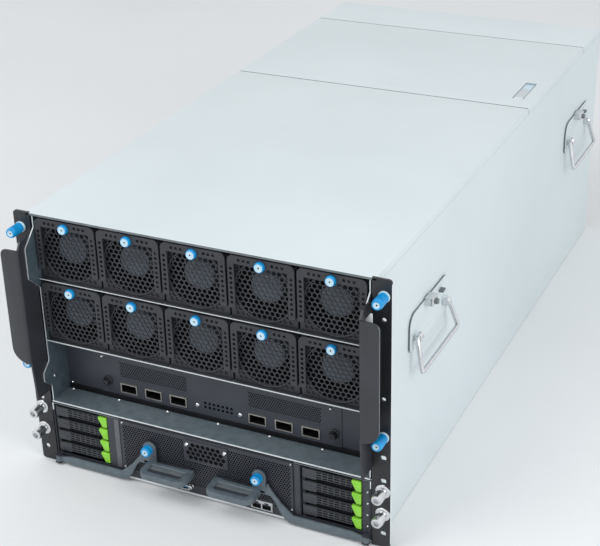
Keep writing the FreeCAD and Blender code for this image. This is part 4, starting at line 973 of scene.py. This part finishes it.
# %% Ten modules in place
for tag in [f"{number:02d}" for number in range(1, 11)]:
    low, high = node_box("fan_module_" + tag)
    centre = Vector(((low.x + high.x) / 2, low.y + screw_long, (low.z + high.z) / 2))
    piece("fan_body_" + tag, moved(pull_frame, centre), [fan_plastic, blade_plastic], "fan_" + tag, "fan_plastic",
          "fan_module_" + tag)
    piece("fan_screw_" + tag, moved(screw, centre), screw_finishes, "fan_" + tag, "blue_plastic")
    piece("fan_wheel_" + tag, moved(hub, centre), [hub_plastic, blade_plastic], "rotor_" + tag, "fan_plastic",
          "fan_rotor_" + tag)
for pattern in (pull_frame, screw, hub):
    pattern.free()
print("the last fan module is", tag)

# %% [markdown]
# ## Port panel
#
# Behind the shelf stands a panel with a raised middle part, six cages for plugs, two fields of fine holes,
# a block of small indicator windows and two spring knobs.
# The panel is a front sheet with windows, and the fine fields are honeycombs set into two of them.
# A dark strip along its foot and a thin one on the shelf in front of it paint the shadow under the panel.

# %% Panel sheet and vents
low, high = node_box("io_panel")
port_low, port_high = node_box("port_cages")
port_z = (port_low.z + port_high.z) / 2
port_xs = [side * (54.5 + 35.3 * place) for side in (-1, 1) for place in range(3)]
cage_windows = [window(x, port_z, 11.0, 6.0) for x in port_xs]
vent_windows = [(-137.0, -41.0, 121.5, 147.5), (43.0, 139.0, 121.5, 147.5)]
light_x, light_z = 1.2, 111.55
light_windows = [window(light_x + 6.0 * column, z, 1.7, 1.7)
                 for column in range(-3, 4) for z in (light_z - 2.85, light_z + 2.85)]
light_box = window(light_x, light_z, 20.5, 5.6)

panel = pierced_sheet((low.x, low.z), (high.x, high.z), low.y + 1.0, cage_windows + vent_windows + [light_box], 1.5)
insert = bmesh.new()
insert_half = 165.0
corners = front_sheet(insert, (-insert_half, low.z + 0.4), (insert_half, high.z - 0.1), low.y)
round_corners(insert, [vert for vert in corners if vert.co.z < low.z + 1], 6.0)
open_windows(insert, cage_windows + vent_windows + light_windows)
thicken(insert, 0.98)
pour(panel, insert)
for x_low, x_high, z_low, z_high in vent_windows:
    pour(panel, honeycomb((x_low - 0.3, z_low - 0.3), (x_high + 0.3, z_high + 0.3), low.y + 0.25, 3.1, 1.15, 0.8))
for side in (-1, 1):
    turned(panel, [(0, 0), (6.4, 0), (6.4, 1.6), (5.2, 2.2), (4.6, 7.6), (3.8, 8.8), (1.4, 8.8), (1.2, 7.8),
                   (0, 7.8)], (side * 155.5, low.y, 114.5), finish=1)
piece("port_panel", panel, [panel_coat, black_coat], "gpu_tray", "dark_paint", "io_panel")
print("indicator windows:", len(light_windows))

# %% [markdown]
# Small things make a panel believable: the dark depth behind windows and vents, the bright rims of the cages
# and the rows of rivets. Each kind is one piece, because they never move apart.

# %% Cages
cages = bmesh.new()
lining = bmesh.new()
for x in port_xs:
    pour(cages, pierced_sheet((x - 11.8, port_z - 6.8), (x + 11.8, port_z + 6.8), port_low.y,
                              [window(x, port_z, 10.4, 5.4)], 1.2))
    pour(lining, open_box((x - 10.9, port_low.y + 1.0, port_z - 5.9), (x + 10.9, port_high.y, port_z + 5.9),
                          (0, -1, 0), 1.5))
    slab(lining, (x - 8.0, port_high.y - 14.0, port_z - 0.8), (x + 8.0, port_high.y - 1.0, port_z + 0.8), 0.2)
piece("cage_rims", cages, [cage_nickel], "gpu_tray", "bright_steel", "port_cages")
piece("cage_tubes", lining, [dark_cavity], "gpu_tray", "bright_steel")
print("cages:", len(port_xs))

# %% Dark depths and painted shadow under the panel
# Dark slabs behind the indicator windows and the vents paint the shade deep inside them.
depths = bmesh.new()
x_low, x_high, z_low, z_high = light_box
slab(depths, (x_low - 1, low.y + 2.6, z_low - 1), (x_high + 1, low.y + 6.0, z_high + 1), 0.4)
for x_low, x_high, z_low, z_high in vent_windows:
    slab(depths, (x_low - 1, low.y + 2.7, z_low - 1), (x_high + 1, low.y + 3.3, z_high + 1), 0.1, segments=1)
piece("dark_depth_slabs", depths, [dark_cavity], "gpu_tray", "dark_paint")

# Painted shadow: a dark strip over the panel's foot and a thin one on the shelf just in front of it.
shade_strips = bmesh.new()
slab(shade_strips, (low.x + 1.0, low.y - 0.5, low.z), (high.x - 1.0, low.y + 0.6, low.z + 5.0), 0.2)
slab(shade_strips, (low.x + 1.0, low.y - 3.6, low.z), (high.x - 1.0, low.y - 0.3, low.z + 0.6), 0.2)
piece("panel_foot_shadow", shade_strips, [painted_shadow_dark], "gpu_tray", "dark_paint")
print("seal under the panel:", round(high.x - low.x), "mm long")

# %% Rivets
shelf_xs = (-207.0, -139.0, -69.0, 2.0, 72.0, 142.0, 207.0)
rivets = bmesh.new()
for x in shelf_xs:
    rod(rivets, (x, low.y - 4.3, low.z - 0.4), (0, 0, 1), 1.5, 2.3, tip=1.3, sides=14)
for x, z in ((-162.0, 148.0), (151.0, 148.0), (-211.5, 98.0), (211.5, 98.0)):
    depth = low.y if abs(x) < insert_half else low.y + 1.0
    rod(rivets, (x, depth + 0.2, z), (0, -1, 0), 1.5, 2.1, tip=1.2, sides=14)
for x in (-27.9, 30.8):
    turned(rivets, [(0, -0.2), (2.9, -0.2), (2.9, 0.5), (2.0, 1.5), (0, 1.9)], (x, low.y, 109.0), sides=16)
for side in (-1, 1):
    rod(rivets, (side * 214.8, face_y + 8.5, 124.0), (-side, 0, 0), 1.3, 2.0, tip=1.2, sides=14)
piece("tray_rivets", rivets, [bright_steel], "gpu_tray", "bright_steel")
print("rivets along the shelf:", len(shelf_xs))

# %% [markdown]
# ## Accelerator board
#
# The board only shows when the tray is pulled out. Its coolers are stacks of thin fins on a base:
# one cooler is built from slabs and copied eight times.

# %% Board and coolers
low, high = node_box("gpu_board")
board = bmesh.new()
slab(board, (low.x, low.y, low.z + 6.0), (high.x, high.y, low.z + 8.4), 0.3)
for x in (low.x + 8, high.x - 8):
    for y in (low.y + 8, (low.y + high.y) / 2, high.y - 8):
        rod(board, (x, y, low.z), (0, 0, 1), 9.6, 3.6, sides=6)
pitch_x, pitch_y, fins, fin_top = 98.0, 190.0, 17, 128.0
half = pitch_x / 2 - 7.0
cooler = bmesh.new()
slab(cooler, (-half, 0, 0), (half, 150.0, 10.0), 0.8)
for fin in range(fins):
    x = (half - 1.0) * (2 * fin / (fins - 1) - 1)
    slab(cooler, (x - 0.6, 2.0, 9.0), (x + 0.6, 148.0, fin_top))
for y in (2.0, 110.0):
    slab(cooler, (-half, y, fin_top), (half, y + 38.0, fin_top + 2.0), 0.4)
coolers = bmesh.new()
for column in range(4):
    for row in range(2):
        pour(coolers, moved(cooler, ((column - 1.5) * pitch_x, low.y + 24.0 + pitch_y * row, low.z + 8.4)))
cooler.free()
piece("accelerator_board", board, [board_mask], "gpu_tray", "alloy", "gpu_board")
piece("accelerator_coolers", coolers, [fin_alloy], "gpu_tray", "alloy")
print("fins on each cooler:", fins)

# %% [markdown]
# ## Face of the sled
#
# Between the drives the sled has a finely punched plate, with a coarser plate screwed onto its middle,
# a pair of network jacks at the right and a small port at the left of centre.

# %% Vent plates
low, high = node_box("node_face")
sled_front = low.y + 2.4
plate_low, plate_high = (-28.0, 53.0), (32.0, 83.6)
plate_screw_xs, plate_screw_z = (-24.0, 28.0), 76.5
vents = honeycomb((low.x, 14.7), (high.x, high.z - 0.1), sled_front - 1.2, 3.4, 1.05, 1.2,
                  lambda x, z: abs(x) < 114.0 and 16.8 < z < 83.0
                  and not (plate_low[0] < x < plate_high[0] and plate_low[1] < z)
                  and not (59.0 < x < 92.0 and z < 23.0))
pour(vents, honeycomb(plate_low, plate_high, sled_front - 2.4, 6.9, 1.3, 1.2,
                      lambda x, z: plate_low[0] + 4 < x < plate_high[0] - 4 and z < 80.0
                      and min(abs(x - spot) for spot in plate_screw_xs) + abs(z - plate_screw_z) > 7.0))
print("faces of the vent plates:", len(vents.faces))
piece("sled_vents", vents, [charcoal_coat], "node_tray", "dark_paint", "node_face")

filter_sheet = bmesh.new()
slab(filter_sheet, (plate_low[0] + 2, sled_front - 1.26, plate_low[1] + 2),
     (plate_high[0] - 2, sled_front - 1.21, 81.5))
piece("sled_filter", filter_sheet, [dark_cavity], "node_tray", "dark_paint")
fixings = bmesh.new()
for x in plate_screw_xs:
    rod(fixings, (x, sled_front - 2.3, plate_screw_z), (0, -1, 0), 1.6, 2.7, tip=1.7, sides=16)
for x in (-115.5, 115.5):
    for z in (19.0, 84.0):
        rod(fixings, (x, sled_front - 1.1, z), (0, -1, 0), 1.0, 1.4, tip=0.9, sides=14)

# %% Jacks and port
jacks = bmesh.new()
for x_low, x_high, z_low, z_high, holes in (
        (61.0, 90.0, 8.0, 21.0, ((63.0, 74.6, 9.6, 17.0), (66.0, 71.6, 16.9, 19.2),
                                 (76.4, 88.0, 9.6, 17.0), (79.4, 85.0, 16.9, 19.2))),
        (-38.0, -24.0, 8.0, 15.0, ((-36.4, -25.6, 9.6, 13.4),))):
    pour(jacks, pierced_sheet((x_low, z_low), (x_high, z_high), sled_front - 2.0, holes, 1.4))
piece("jack_rims", jacks, [bright_steel], "node_tray", "bright_steel")
sockets = bmesh.new()
slab(sockets, (61.4, sled_front - 0.7, 8.4), (89.6, sled_front - 0.1, 20.6))
slab(sockets, (-37.6, sled_front - 0.7, 8.4), (-24.4, sled_front - 0.1, 14.6))
piece("jack_sockets", sockets, [dark_cavity], "node_tray", "dark_paint")
tongue = bmesh.new()
slab(tongue, (-35.8, sled_front - 1.9, 12.0), (-26.2, sled_front - 0.6, 13.0), 0.1)
piece("port_tongue", tongue, [blue_grip], "node_tray", "blue_plastic")
print("sled front at", round(sled_front, 1), "mm")

# %% [markdown]
# ## Bright edges of the sled and the posts beside the drives
#
# Sheet steel is painted before it is sheared, so its cut edges stay bright. Thin slabs lie on those edges:
# a duller one over each drive bay, a bright one along the foot and a short one at each upper corner.

# %% Sled edges and posts
tray_low, tray_high = node_box("node_tray")
sled_half, bay_in, bay_out = 217.4, 120.0, 216.0
edge_back, edge_top = sled_front + 0.4, tray_high.z - 0.05
edges = bmesh.new()
slab(edges, (-sled_half, sled_front - 0.3, tray_low.z + 0.05), (sled_half, edge_back, tray_low.z + 2.9), 0.2)
for side in (-1, 1):
    x_low, x_high = sorted((side * bay_in, side * bay_out))
    slab(edges, (x_low, sled_front - 0.2, tray_high.z - 1.15), (x_high, edge_back, edge_top), finish=1)
    x_low, x_high = sorted((side * (bay_out + 0.2), side * sled_half))
    slab(edges, (x_low, sled_front - 1.1, tray_high.z - 10.0), (x_high, edge_back, edge_top), 0.2)
piece("sled_bright_edges", edges, [bare_edge, cut_edge], "node_tray", "bright_steel")
posts = bmesh.new()
for x_low, x_high, finish in ((120.4, 127.0, 1), (209.4, 216.0, 1), (-127.2, -120.2, 0)):
    slab(posts, (x_low, sled_front - 1.0, 15.0), (x_high, sled_front + 0.5, 85.8), 0.6, finish=finish)
piece("sled_posts", posts, [post_grey, bezel_plastic], "node_tray", "dark_paint")
turned(fixings, [(0, 0), (3.2, 0), (3.2, 1.6), (2.6, 2.2), (2.6, 5.0), (1.6, 5.6), (1.2, 4.0), (0, 4.0)],
       (-20.6, sled_front - 1.0, 15.8), sides=16)
for z in (24.0, 40.0, 56.0, 72.0):
    rod(fixings, (213.2, sled_front - 0.9, z), (0, -1, 0), 0.7, 1.3, tip=0.9, sides=12)
piece("sled_fixings", fixings, [bright_steel], "node_tray", "bright_steel")
print("sled is", round(tray_high.z - tray_low.z, 1), "mm tall")

# %% [markdown]
# ## Drives
#
# A drive shows a bezel with rows of small slots and a bright green release latch.
# The slots come from a sheet whose cells are inset and deleted. The latch is a slab that is cut on a slant.

# %% Bezel
bezel = bmesh.new()
flat_sheet(bezel, (42.0, 1.2, 9.6), (46.0, 1, 10.2), cells=(6, 3))
open_cells(bezel, bezel.faces[:], 0.75)
thicken(bezel, 2.4)
slab(bezel, (1.3, 1.0, 2.0), (19.4, 5.0, 15.0), 0.7)
for z_low, z_high in ((13.9, 14.8), (4.2, 5.0)):
    slab(bezel, (18.8, 1.0, z_low), (65.0, 2.2, z_high), 0.3)
slab(bezel, (10.5, 0.4, 6.8), (17.0, 1.4, 10.0), 0.5)
slab(bezel, (18.0, 4.2, 1.6), (65.6, 5.0, 15.0), 0.2, finish=1)
print("faces of one bezel:", len(bezel.faces))

# %% Release latch
latch_x, latch_end, latch_front, latch_low = 64.6, 76.8, 0.3, 1.2
latch = bmesh.new()
slab(latch, (latch_x, latch_front, latch_low), (latch_end, 5.0, 15.2))
slice_off(latch, (latch_x, 0, 12.4), (-11.2, 0, -5.4))
soften(latch, 0.6)
for rib in (10.4, 12.6):
    slab(latch, (66.4, 0.0, rib), (75.4, 0.9, rib + 0.8), 0.25)
print("faces of one latch:", len(latch.faces))

# %% Eight drives in place
for number in range(1, 9):
    node = f"drive_lever_{number}"
    low, high = node_box(node)
    corner = Vector((high.x - latch_end, low.y - latch_front, low.z - latch_low))
    piece(f"drive_bezel_{number}", moved(bezel, corner), [bezel_plastic, dark_cavity], node, "bezel_plastic", node)
    piece(f"drive_latch_{number}", moved(latch, corner), [green_latch], node, "bezel_plastic")
bezel.free()
latch.free()
print("the last drive is", number)

# %% [markdown]
# ## Sled levers
#
# Each lever is one bent bar: it runs along the sill, climbs a ramp, and carries a rounded tab with a thumb screw
# and a loop for two fingers, with a darker plate and a lighter step inside it.
# The bar starts as a single upright edge that is extruded from corner to corner.

# %% Lever bar
low, high = node_box("node_lever_right")
strap_y = high.y - 6.0
grip_low, grip_high, lever_thick = 35.5, 41.5, 4.0
lever = bmesh.new()
stations = [(213.0, 4.2, 12.0), (203.0, 4.2, 12.0), (194.0, 2.8, 14.2), (119.0, 2.8, 14.2), (113.5, 3.6, 19.0),
            (108.5, 6.6, 23.4), (102.5, 15.0, 29.2), (96.0, 28.5, 37.0), (90.0, grip_low, 45.0),
            (86.0, grip_low, 52.0), (83.0, grip_low, grip_high), (24.0, grip_low, grip_high)]
first = [lever.verts.new((stations[0][0], strap_y, z)) for z in stations[0][1:]]
tip = lever.edges.new(first)
for (x, z_low, z_high), (next_x, next_low, next_high) in zip(stations, stations[1:]):
    grown = bmesh.ops.extrude_edge_only(lever, edges=[tip])["geom"]
    tip = next(item for item in grown if isinstance(item, bmesh.types.BMEdge))
    bottom, top = sorted(tip.verts, key=lambda vert: vert.co.z)
    shift(lever, (next_x - x, 0, next_low - z_low), [bottom])
    shift(lever, (next_x - x, 0, next_high - z_high), [top])
bmesh.ops.recalc_face_normals(lever, faces=lever.faces[:])
bmesh.ops.reverse_faces(lever, faces=[face for face in lever.faces if face.normal.y > 0])
thicken(lever, lever_thick)
soften(lever, 1.1)
rod(lever, (213.0, high.y - 4.0, 4.2), (0, 0, 1), 7.8, 4.0)
print("faces of one lever bar:", len(lever.faces))

# %% Tab and loop
tab = bmesh.new()
corners = front_sheet(tab, (66.3, grip_low + 1.0), (84.3, 68.0), strap_y)
round_corners(tab, [vert for vert in corners if vert.co.z > 60], 8.9, segments=8)
thicken(tab, lever_thick)
soften(tab, 1.0)
loop = bmesh.new()
corners = flat_sheet(loop, (45.75, low.y + 16.0, grip_high), (63.5, 32.0, 1), Matrix())
round_corners(loop, [vert for vert in corners if vert.co.y < low.y + 1], 12.0, segments=6)
ring = bmesh.ops.inset_region(loop, faces=loop.faces[:], thickness=8.6, use_boundary=True,
                              use_even_offset=True)["faces"]
bmesh.ops.delete(loop, geom=[face for face in loop.faces if face not in ring], context="FACES_ONLY")
thicken(loop, grip_high - grip_low + 2.6)
soften(loop, 1.4)
for part in (tab, loop):
    pour(lever, part)
slab(lever, (20.0, low.y + 6.0, grip_high - 4.6), (71.5, low.y + 17.0, grip_high - 3.0), 0.5, finish=1)
slab(lever, (20.0, low.y + 16.6, grip_high - 3.6), (71.5, low.y + 24.0, grip_high - 2.2), 0.5, finish=2)
print("and with tab and loop:", len(lever.faces))

# %% Levers in place
grip = bmesh.new()
thumb_screw(grip, (75.3, strap_y, 59.0), 6.5, 10.0, 0.0, cap=0.62)
both_sides("lever_bar_{}", lever, [lever_zinc, panel_coat, cut_edge], "node_lever_{}", "tray_steel",
           "node_lever_{}")
both_sides("lever_screw_{}", grip, screw_finishes, "node_lever_{}", "blue_plastic")
print("lever bars at y", round(strap_y, 1))

# %% [markdown]
# ## Carrying handles on the sides
#
# A pressed bracket with two eyes and a small latch block holds a bail of round wire.
# The wire is a curve with a round bevel, which is the simplest way to bend a bar, and it is turned into a mesh
# so that it can be finished like the other pieces.

# %% Bracket
pivot_x, pivot_z, eye_y, eye_half = 230.5, 222.0, 47.75, 2.75
plate_x, plate_z, plate_tall = 226.0, 230.0, 48.0
bracket = bmesh.new()
corners = flat_sheet(bracket, (plate_x, 0, plate_z), (1, 130.0, plate_tall),
                     Matrix.Rotation(math.radians(90), 4, "Y"))
round_corners(bracket, [vert for vert in corners if vert.co.z > plate_z + 1], 16.0, segments=5)
foot = [vert for vert in bracket.verts if vert.co.z < plate_z - plate_tall / 2 + 1]
round_corners(bracket, foot, 6.0, segments=3)
bmesh.ops.reverse_faces(bracket, faces=[face for face in bracket.faces if face.normal.x < 0])
bmesh.ops.inset_region(bracket, faces=bracket.faces[:], thickness=6.0, depth=-1.0, use_boundary=True,
                       use_even_offset=True)
thicken(bracket, 1.4)
# The plate's edges take the mid grey: painted shade along them.
paint(bracket, 1, lambda face: abs(face.normal.x) < 0.3)
for eye in (-eye_y, eye_y):
    slab(bracket, (224.0, eye - eye_half, 216.0), (230.0, eye + eye_half, 228.0), 0.8)
print("faces of one bracket:", len(bracket.faces))

# %% Studs and latch block
hardware = bmesh.new()
rod(hardware, (235.0, -8.0, 250.5), (1, 0, 0), 4.6, 4.2, tip=3.4, sides=18)
paint(hardware, 1)
slab(hardware, (225.0, 32.0, 240.2), (231.0, 42.0, 243.2), 0.8, finish=1)
slab(hardware, (225.0, -17.0, 246.0), (236.0, 1.0, 256.6), 1.2)
for eye in (-eye_y, eye_y):
    turned(hardware, [(0, -3.7), (4.4, -3.7), (5.6, -2.7), (5.6, 2.7), (4.4, 3.7), (0, 3.7)],
           (pivot_x, eye, pivot_z), sides=20)
print("faces of its studs and block:", len(hardware.faces))


# %% Bent wire
def bent_wire(corners, radius):
    """Round wire through a few corners, as a bmesh."""
    line = bpy.data.curves.new("wire", "CURVE")
    line.dimensions = "3D"
    line.bevel_depth = radius
    line.bevel_resolution = 3
    line.use_fill_caps = True
    run = line.splines.new("POLY")
    run.points.add(len(corners) - 1)
    for point, corner in zip(run.points, corners):
        point.co = (*corner, 1.0)
    holder = bpy.data.objects.new("wire", line)
    scene.collection.objects.link(holder)
    mesh = bpy.data.meshes.new_from_object(holder.evaluated_get(bpy.context.evaluated_depsgraph_get()))
    bm = bmesh.new()
    bm.from_mesh(mesh)
    bmesh.ops.remove_doubles(bm, verts=bm.verts[:], dist=0.0001)
    bmesh.ops.recalc_face_normals(bm, faces=bm.faces[:])
    bpy.data.objects.remove(holder)
    bpy.data.curves.remove(line)
    bpy.data.meshes.remove(mesh)
    return bm


def eased(corners, reach):
    """The same run of corners, each cut off by three points so that the wire bends softly."""
    soft = [corners[0]]
    for before, here, after in zip(corners, corners[1:], corners[2:]):
        start = here + (before - here).normalized() * reach
        end = here + (after - here).normalized() * reach
        soft += [start, here.lerp((start + end) / 2, 0.4), end]
    return soft + [corners[-1]]


# %% Bails
tilt = math.radians(15)
sway = [(0, -46.5), (0, -53.9), (-40, -62), (-40, 62), (0, 53.9), (0, 46.5)]
bail = bent_wire(eased([Vector((-drop * math.sin(tilt), y, drop * math.cos(tilt))) for drop, y in sway], 4.0), 3.0)
print("faces of one bail:", len(bail.faces))
for end, middle in (("front", face_y + 162.0), ("rear", face_y + 823.0)):
    place = (0, middle, 0)
    both_sides("bracket_studs_" + end + "_{}", moved(hardware, place), [bright_steel, cut_edge], "chassis",
               "shell_paint")
    both_sides("bracket_" + end + "_{}", moved(bracket, place), [shell_coat, cut_edge], "chassis", "shell_paint",
               "handle_brackets")
    body = "bail_" + end + "_{}"
    both_sides("bail_wire_" + end + "_{}", moved(bail, (pivot_x, middle, pivot_z)), [bright_steel], body,
               "bright_steel", body)
for pattern in (bracket, bail, hardware):
    pattern.free()

# %% [markdown]
# ## Rear wall and power supplies
#
# The rear is not in the photograph. Such servers have a punched wall and a row of hot-swap supplies below it,
# each with a grille, an inlet, a coloured release and a pull handle. Between the supplies, blank covers close the
# slots for cards: a small grid with its cells opened, a tab at the top and a screw.

# %% Rear wall
low, high = node_box("rear_panel")
supply_xs = [side * (106.0 + 42.5 * place) for side in (-1, 1) for place in range(3)]
bays = [(-x - 20.5, -x + 20.5, 1.6, 76.4) for x in supply_xs]
fields = [(x - 47.0, x + 47.0, z, z + 104.0) for x in (-156.0, -52.0, 52.0, 156.0) for z in (96.0, 216.0)]
slot_xs = [20.0 * (place - 3.5) for place in range(8)]
wall = pierced_sheet((low.x, low.z), (high.x, 342.0), 0.0,
                     bays + fields + [(x - 7.0, x + 7.0, 10.0, 60.0) for x in slot_xs], 1.5)
slab(wall, (low.x + 2.0, 1.4, 341.5), (high.x - 2.0, 2.6, 349.0))
for x_low, x_high, z_low, z_high in fields:
    pour(wall, honeycomb((x_low - 0.2, z_low - 0.2), (x_high + 0.2, z_high + 0.2), 0.15, 7.2, 1.6, 1.2))
print("faces of the punched wall:", len(wall.faces))

# %% Slot covers
cover = bmesh.new()
flat_sheet(cover, (0, -0.9, 35.0), (16.0, 1, 54.0), cells=(2, 10))
open_cells(cover, cover.faces[:], 1.3)
thicken(cover, 0.85)
slab(cover, (-8.0, -1.3, 61.6), (8.0, -0.05, 70.0), 0.5)
rod(cover, (0, -1.2, 66.0), (0, -1, 0), 1.4, 2.8, tip=2.0, sides=16)
paint(cover, 1)
for x in slot_xs:
    pour(wall, moved(cover, (x, 0, 0)))
cover.free()
rotate(wall, math.pi, "Z")
shift(wall, (0, high.y, 0))
piece("rear_wall", wall, [shell_coat, fin_alloy], "chassis", "shell_paint", "rear_panel")
print("slot covers:", len(slot_xs))

# %% [markdown]
# A supply is drawn as if it faced the front and is then turned round with its face to the rear.

# %% Supplies
case = bmesh.new()
slab(case, (-20.0, 0.0, 2.0), (20.0, 200.0, 76.0), 0.5)
pour(case, honeycomb((-18.5, 34.0), (18.5, 74.5), -1.0, 4.4, 1.1, 1.0))
handle = bmesh.new()
for z in (20.5, 57.5):
    rod(handle, (0, 0.5, z), (0, -1, 0), 14.0, 2.0)
slab(handle, (-2.4, -18.0, 18.8), (2.4, -13.6, 59.2), 1.4)
inlet = pierced_sheet((-15.0, 4.0), (15.0, 17.6), -3.0, [(-12.4, 12.4, 6.2, 15.4)], 3.4)
slab(inlet, (-12.8, -0.6, 5.8), (12.8, 0.2, 15.8))
for x in (-7.0, 0.0, 7.0):
    slab(inlet, (x - 0.9, -2.4, 8.6), (x + 0.9, -0.4, 13.0), 0.2)
slab(inlet, (-18.2, -0.08, 34.3), (18.2, -0.02, 74.2))
release = bmesh.new()
slab(release, (13.2, -6.0, 60.0), (18.4, 0.4, 73.0), 1.0)
for part, name, finish, slot, nodes in ((case, "supply_cases", fin_alloy, "alloy", ["power_supplies"]),
                                        (handle, "supply_handles", black_coat, "dark_paint", []),
                                        (inlet, "supply_inlets", dark_cavity, "dark_paint", []),
                                        (release, "supply_releases", green_latch, "bezel_plastic", [])):
    row = bmesh.new()
    rotate(part, math.pi, "Z")
    for x in supply_xs:
        pour(row, moved(part, (x, high.y, 0)))
    part.free()
    piece(name, row, [finish], "chassis", slot, *nodes)
print("supplies:", len(supply_xs))
